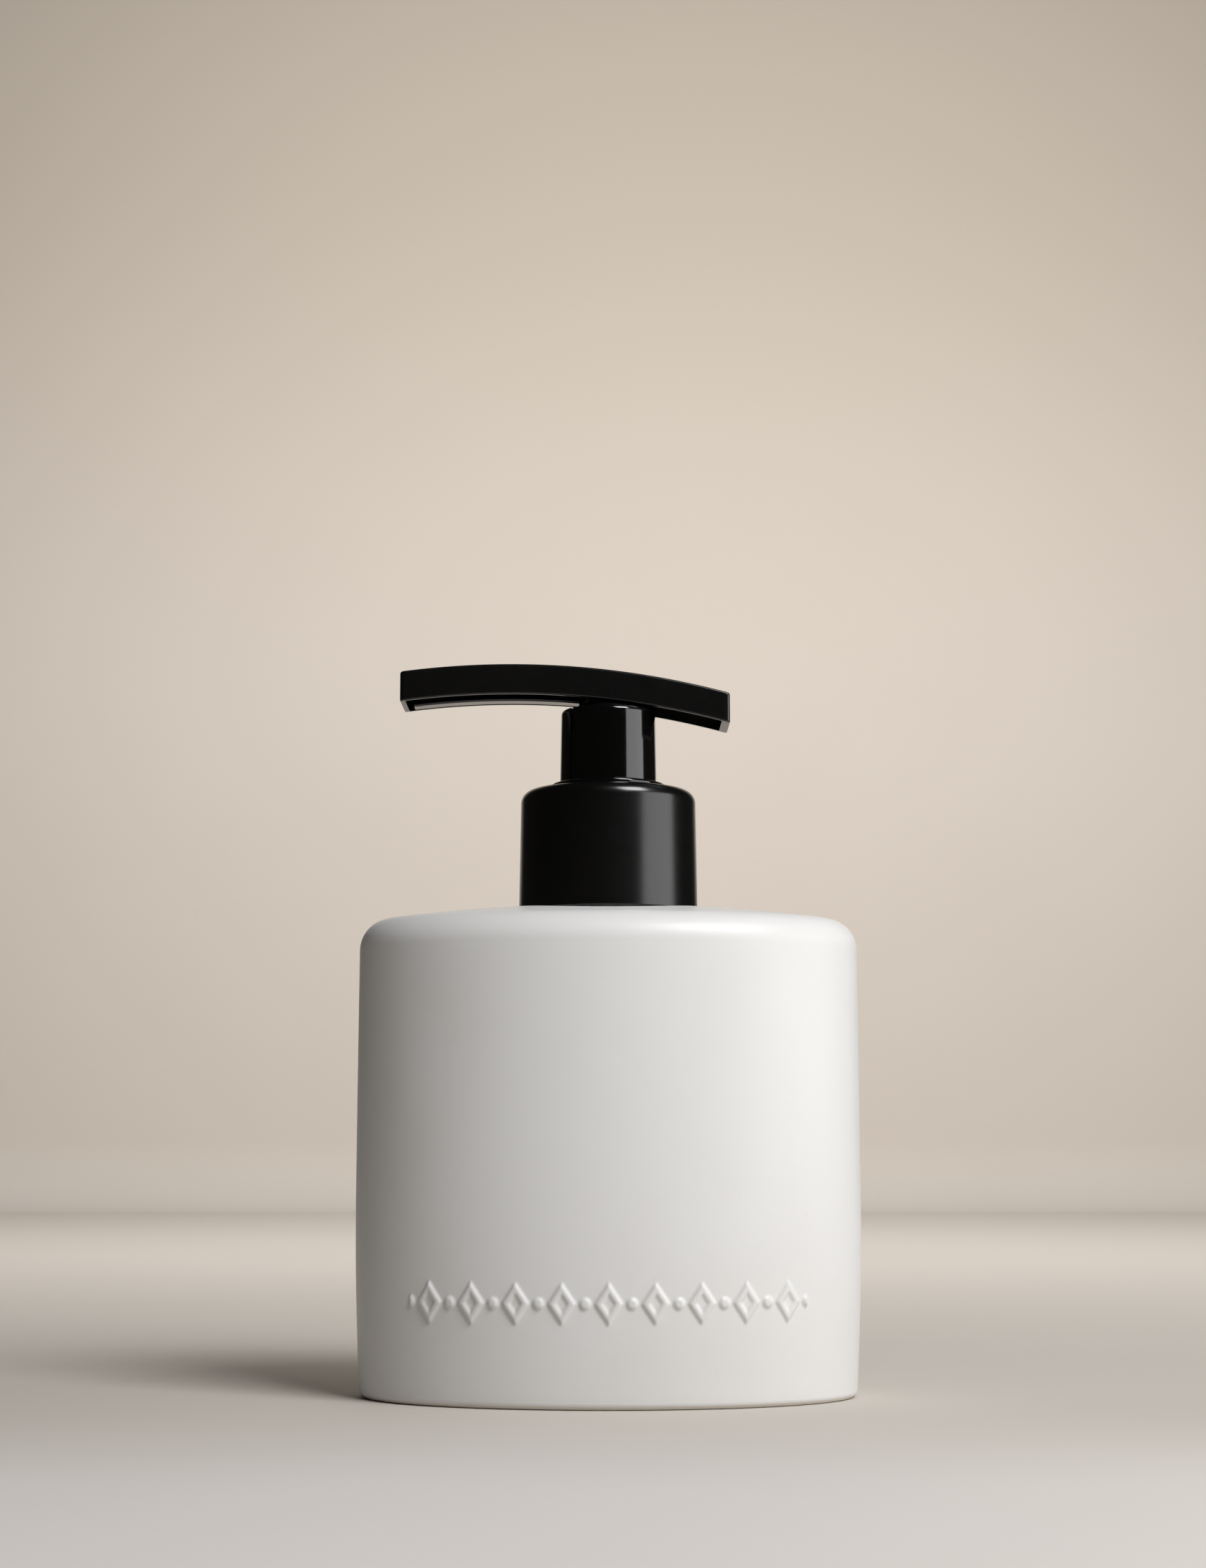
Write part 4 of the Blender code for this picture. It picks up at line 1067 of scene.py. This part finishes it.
# ---------------------------------------------------------------- head
@dataclass
class PumpHead:
    """The curved press handle, its spout channel, the core and the glossy sleeve."""

    finishes: Finishes
    arc_radius: float = 163.0 * MM
    crown_x: float = -19.0 * MM
    thickness: float = 5.95 * MM
    roof: float = 1.3 * MM
    side: float = 1.0 * MM
    left_end: float = 1.3 * MM
    right_end: float = 1.9 * MM
    edge: float = 0.45 * MM
    rim_edge: float = 0.28 * MM
    corner: float = 0.7 * MM
    long_steps: int = 72
    cross_steps: int = 12
    sleeve_top: float = 9.3 * MM
    sleeve_wall: float = 1.4 * MM
    sleeve_lip: float = 2.0 * MM
    sleeve_edge: float = 0.9 * MM
    line_angle: float = 219.0
    spout_step: float = 1.4 * MM
    spout_rise: float = 1.75 * MM
    boss_r: float = 7.0 * MM
    neck_r: float = 5.4 * MM
    stem_bore: float = 3.3 * MM
    soap_bore: float = 1.8 * MM

    def __post_init__(self) -> None:
        """Takes the handle's outer size from the frame."""
        self.low, self.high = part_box("handle_bar")

    def top_z(self, x: float) -> float:
        """Height of the handle's top at x."""
        return self.high.z - self.arc_radius + math.sqrt(self.arc_radius**2 - (x - self.crown_x) ** 2)

    def shares(self, count: int, length: float) -> list[float]:
        """Places of grid lines along a side, closer together at its ends.

        Args:
            count: number of even steps.
            length: the side's length.

        Returns:
            Shares from 0 to 1.
        """
        close = [d * MM / length for d in (0.0, 0.12, 0.3, 0.5, 0.72)]
        first, last = close[-1], 1 - close[-1]
        middle = [first + (last - first) * i / count for i in range(1, count)]
        return close + middle + [1 - s for s in reversed(close)]

    def grid(self, x0: float, x1: float, half: float, corner: float) -> list[list[Point]]:
        """Plan points of a rectangle with rounded corners, as rows along x.

        Args:
            x0: left end.
            x1: right end.
            half: half its width.
            corner: radius of its corners.

        Returns:
            Rows of (x, y) points.
        """
        rows = []
        for s in self.shares(self.long_steps, 60 * MM):
            row = []
            for t in self.shares(self.cross_steps, 12 * MM):
                x, y = x0 + (x1 - x0) * s, -half + 2 * half * t
                cx = min(max(x, x0 + corner), x1 - corner)
                cy = min(max(y, -half + corner), half - corner)
                dx, dy = x - cx, y - cy
                if corner > 0 and dx and dy:
                    scale = max(abs(dx), abs(dy)) / math.hypot(dx, dy)
                    x, y = cx + dx * scale, cy + dy * scale
                row.append((x, y))
            rows.append(row)
        return rows

    @staticmethod
    def border(rows: list[list]) -> list:
        """The outer entries of a grid, in order round it."""
        last = [row[-1] for row in rows[1:-1]]
        first = [row[0] for row in rows[1:-1]]
        return rows[0] + last + rows[-1][::-1] + first[::-1]

    def lid(self, bm: BMesh, rows: list[list[Point]], depth: float) -> list:
        """A curved face over the whole grid.

        Args:
            bm: the mesh being built.
            rows: the plan grid.
            depth: how far below the handle's top it lies.

        Returns:
            The vertices on its border.
        """
        made = [[bm.verts.new((x, y, self.top_z(x) - depth)) for x, y in row] for row in rows]
        for near, far in zip(made, made[1:]):
            for i in range(len(near) - 1):
                bm.faces.new((near[i], near[i + 1], far[i + 1], far[i]))
        return self.border(made)

    def handle(self) -> Object:
        """Builds the press handle: a shallow channel, open below, with every edge rounded."""
        x0, x1, half = self.low.x, self.high.x, self.high.y
        in0, in1, in_half = x0 + self.left_end, x1 - self.right_end, half - self.side
        outer = [(self.edge, 0.0)]
        outer += [(self.edge - r, self.edge - z) for r, z in arc((0, 0), self.edge, 90, 0, 6)[1:]]
        outer.append((0.0, self.edge + 0.15 * MM))
        deep, rim = self.thickness, self.rim_edge
        outer.append((0.0, deep - rim - 0.12 * MM))
        outer += [(rim - r, deep - rim - z) for r, z in arc((0, 0), rim, 0, -90, 4)]
        inner = [(-rim + r, deep - rim - z) for r, z in arc((0, 0), rim, -90, -180, 4)]
        bm = bmesh.new()
        edge, roof = self.edge, self.roof
        top = self.grid(x0 + edge, x1 - edge, half - edge, self.corner - edge)
        ring = self.lid(bm, top, 0.0)
        plan = [(x0 + i, x1 - i, half - i, max(self.corner - i, 0.05 * MM), d) for i, d in outer[1:]]
        for i, d in inner:
            plan.append((in0 + i, in1 - i, in_half - i, 0.4 * MM, d))
        for i, d in ((0.0, roof + 0.5 * MM), (0.0, roof + 0.3 * MM), (0.09 * MM, roof + 0.09 * MM)):
            plan.append((in0 + i, in1 - i, in_half - i, 0.4 * MM, d))
        for a, b, h, corner, depth in plan:
            points = self.border(self.grid(a, b, h, corner))
            fresh = [bm.verts.new((x, y, self.top_z(x) - depth)) for x, y in points]
            self.bridge(bm, ring, fresh)
            ring = fresh
        ceiling = self.grid(in0 + 0.3 * MM, in1 - 0.3 * MM, in_half - 0.3 * MM, 0.1 * MM)
        self.bridge(bm, ring, self.lid(bm, ceiling, self.roof))
        return to_object("curved_press_handle", bm, sharp=50)

    @staticmethod
    def bridge(bm: BMesh, first: list, second: list) -> None:
        """Joins two borders of equal length with quads."""
        count = len(first)
        for i in range(count):
            j = (i + 1) % count
            bm.faces.new((first[i], first[j], second[j], second[i]))

    def spout(self) -> Object:
        """Builds the spout's stepped channel under the long arm, with a thin rounded section."""
        low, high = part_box("spout_channel")
        near, far, wall = low.y, high.y, 0.9 * MM
        step, deep = self.spout_step, self.thickness
        shallow, roof = deep - self.spout_rise, self.roof + 0.3 * MM
        section = rounded(
            [
                (near, shallow, 0.4 * MM), (step, shallow, 0.3 * MM), (step, deep, 0.35 * MM),
                (far, deep, 0.35 * MM), (far, roof, 0.2 * MM), (far - wall, roof, 0.2 * MM),
                (far - wall, deep - wall, 0.5 * MM), (step + wall, deep - wall, 0.3 * MM),
                (step + wall, shallow - wall, 0.3 * MM), (near + wall, shallow - wall, 0.5 * MM),
                (near + wall, roof, 0.2 * MM), (near, roof, 0.2 * MM),
            ],
            4,
        )
        steps = 40
        rings = []
        for i in range(steps + 1):
            x = low.x + (high.x - low.x) * i / steps
            rings.append([(x, y, self.top_z(x) - depth) for y, depth in section])
        bm = bmesh.new()
        loft(bm, rings)
        return to_object("spout_trough", bm)

    def sleeve(self) -> Object:
        """Builds the outer sleeve: rounded rim, slight taper and the line of its key."""
        low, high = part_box("actuator_sleeve")
        top_r = self.sleeve_top
        foot_r = high.x
        corners = [
            (foot_r - self.sleeve_wall, low.z, 0.3 * MM), (foot_r, low.z, 0.3 * MM),
            (top_r, high.z, self.sleeve_edge), (top_r - self.sleeve_lip, high.z, 0.2 * MM),
            (top_r - self.sleeve_lip, high.z - 1.4 * MM, 0.2 * MM),
            (top_r - self.sleeve_wall, high.z - 1.4 * MM, 0.2 * MM),
        ]
        line = math.radians(self.line_angle)
        near = [line + math.radians(d) for d in (-3, -2, -1.5, -1.1, -0.8, 0.8, 1.1, 1.5, 2, 3)]
        clear = math.radians(3.6)
        angles = [a for a in even_angles(150) if abs(math.remainder(a - line, 2 * math.pi)) > clear]
        angles = sorted(angles + near)
        inner_r = top_r - self.sleeve_wall + 0.4 * MM

        def grooved(angle: float, radius: float, z: float) -> Point:
            """Sinks the key's line into the outer face."""
            off = abs(math.degrees(math.remainder(angle - line, 2 * math.pi)))
            if radius < inner_r or off > 1.45:
                return radius, z
            return radius - 0.28 * MM * min(1.0, (1.5 - off) / 0.4), z

        return turned("glossy_sleeve", rounded(corners, 8), angles=angles, shape=grooved)

    def core(self) -> Object:
        """Builds the inner core: the stem's socket, the disc and the handle's neck."""
        low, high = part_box("actuator_core")
        sleeve_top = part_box("actuator_sleeve")[1].z
        disc_top = sleeve_top - 1.7 * MM
        socket_roof = disc_top - 0.9 * MM
        boss = sleeve_top + 0.3 * MM
        corners = [
            (self.stem_bore, low.z, 0.2 * MM), (self.stem_bore + 1.3 * MM, low.z, 0.3 * MM),
            (self.stem_bore + 1.3 * MM, disc_top - 1.4 * MM, 0.3 * MM),
            (high.x, disc_top - 1.4 * MM, 0.2 * MM), (high.x, disc_top, 0.2 * MM),
            (self.boss_r, disc_top, 0.1 * MM), (self.boss_r, boss, 0.3 * MM),
            (self.neck_r, boss + 1.0 * MM, 0.8 * MM), (self.neck_r, high.z, 0.1 * MM),
            (self.soap_bore, high.z, 0.2 * MM), (self.soap_bore, socket_roof, 0.2 * MM),
            (self.stem_bore, socket_roof, 0.1 * MM),
        ]
        return turned("handle_neck", rounded(corners, 5), 112)

    def build(self) -> None:
        """Builds the four pieces of the head."""
        for obj, slot, node in (
            (self.handle(), Slot.SATIN, "handle_bar"),
            (self.spout(), Slot.GLOSS, "spout_channel"),
            (self.sleeve(), Slot.GLOSS, "actuator_sleeve"),
            (self.core(), Slot.SATIN, "actuator_core"),
        ):
            self.finishes.dress(obj, slot)
            install(obj, Body.HEAD, slot, node)


# ---------------------------------------------------------------- studio
@dataclass
class SoftBox:
    """One rectangular studio light."""

    name: str
    place: Triple
    aim: Triple
    size: tuple[float, float]
    watts: float
    color: Triple

    def build(self) -> None:
        """Hangs the light and turns it to its aim."""
        lamp = bpy.data.lights.new(self.name, "AREA")
        lamp.shape = "RECTANGLE"
        lamp.size, lamp.size_y = self.size
        lamp.energy = self.watts
        lamp.color = self.color
        obj = bpy.data.objects.new(self.name, lamp)
        obj.location = self.place
        obj.rotation_euler = (Vector(self.aim) - Vector(self.place)).to_track_quat("-Z", "Y").to_euler()
        bpy.context.scene.collection.objects.link(obj)


@dataclass
class StudioSet:
    """The pale floor that curves up into a backdrop, the soft lights and the camera."""

    floor_half: float = 3.2
    wall_half: float = 0.62
    near_y: float = -1.6
    wall_y: float = 1.32
    curve: float = 0.05
    wall_top: float = 2.2
    camera_place: Triple = (-0.00103, -0.492, 0.0478)
    camera_pitch: float = 98.14
    lens: float = 57.69
    ambient: Triple = (0.018, 0.017, 0.015)
    distance: Triple = (0.56, 0.50, 0.43)

    def cove(self) -> None:
        """Builds the seamless floor and backdrop."""
        path = [(self.near_y, 0.0), (0.4, 0.0), (1.0, 0.0)]
        bend = arc((self.wall_y - self.curve, self.curve), self.curve, -90, 0, 12)
        path += bend + [(self.wall_y, 0.5), (self.wall_y, 1.2), (self.wall_y, self.wall_top)]
        bm = bmesh.new()
        across = [-1 + i / 4 for i in range(9)]
        widths = [self.floor_half if z == 0 else self.wall_half for _, z in path]
        rows = [[bm.verts.new((x * w, y, z)) for x in across] for (y, z), w in zip(path, widths)]
        for low, high in zip(rows, rows[1:]):
            for i in range(len(low) - 1):
                bm.faces.new((low[i], low[i + 1], high[i + 1], high[i]))
        mesh = bpy.data.meshes.new("paper_cove")
        bm.to_mesh(mesh)
        bm.free()
        mesh.shade_smooth()
        obj = bpy.data.objects.new("paper_cove", mesh)
        obj.data.materials.append(SeamlessPaper().build())
        bpy.context.scene.collection.objects.link(obj)

    def lights(self) -> None:
        """Hangs the softboxes and sets the faint room light."""
        middle, white, warm = (0.0, 0.0, 0.07), (1.0, 1.0, 1.0), (1.0, 0.98, 0.955)
        for name, place, aim, size, watts, color in (
            ("key_softbox", (0.84, -0.33, 0.26), middle, (0.80, 0.40), 2.6, white),
            ("front_softbox", (0.39, -0.475, 0.72), middle, (0.4, 0.4), 6.9, white),
            ("backdrop_light", (0.06, 0.45, 0.80), (0.04, 1.32, 0.22), (1.1, 0.35), 9.6, warm),
        ):
            SoftBox(name, place, aim, size, watts, color).build()
        world = bpy.data.worlds.new("room")
        world.use_nodes = True
        g = NodeGraph(world.node_tree)
        seen = g.add("ShaderNodeLightPath").outputs["Is Camera Ray"]
        colors = {"Factor": seen, 6: (*self.ambient, 1.0), 7: (*self.distance, 1.0)}
        color = g.add("ShaderNodeMix", colors, data_type="RGBA").outputs[2]
        world.node_tree.links.new(color, world.node_tree.nodes["Background"].inputs["Color"])
        bpy.context.scene.world = world

    def camera(self) -> None:
        """Places the camera, low in front of the bottle and turned up a little."""
        lens = bpy.data.cameras.new("camera")
        lens.lens = self.lens
        lens.sensor_width = 36.0
        lens.clip_start = 0.01
        obj = bpy.data.objects.new("camera", lens)
        obj.location = self.camera_place
        obj.rotation_euler = (math.radians(self.camera_pitch), 0.0, 0.0)
        bpy.context.scene.collection.objects.link(obj)
        bpy.context.scene.camera = obj
        bpy.context.scene.view_settings.view_transform = "Standard"

    def build(self) -> None:
        """Builds the whole set."""
        self.cove()
        self.lights()
        self.camera()


def main() -> None:
    """Builds every sub-assembly in order, from the bottle up."""
    logging.basicConfig(level=logging.INFO, format="%(name)s: %(message)s")
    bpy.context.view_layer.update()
    finishes = Finishes()
    for part in (CeramicBottle, NeckFitting, Closure, PumpCore, StemRod, PumpHead):
        part(finishes).build()
    StudioSet().build()


if __name__ == "__main__":
    main()
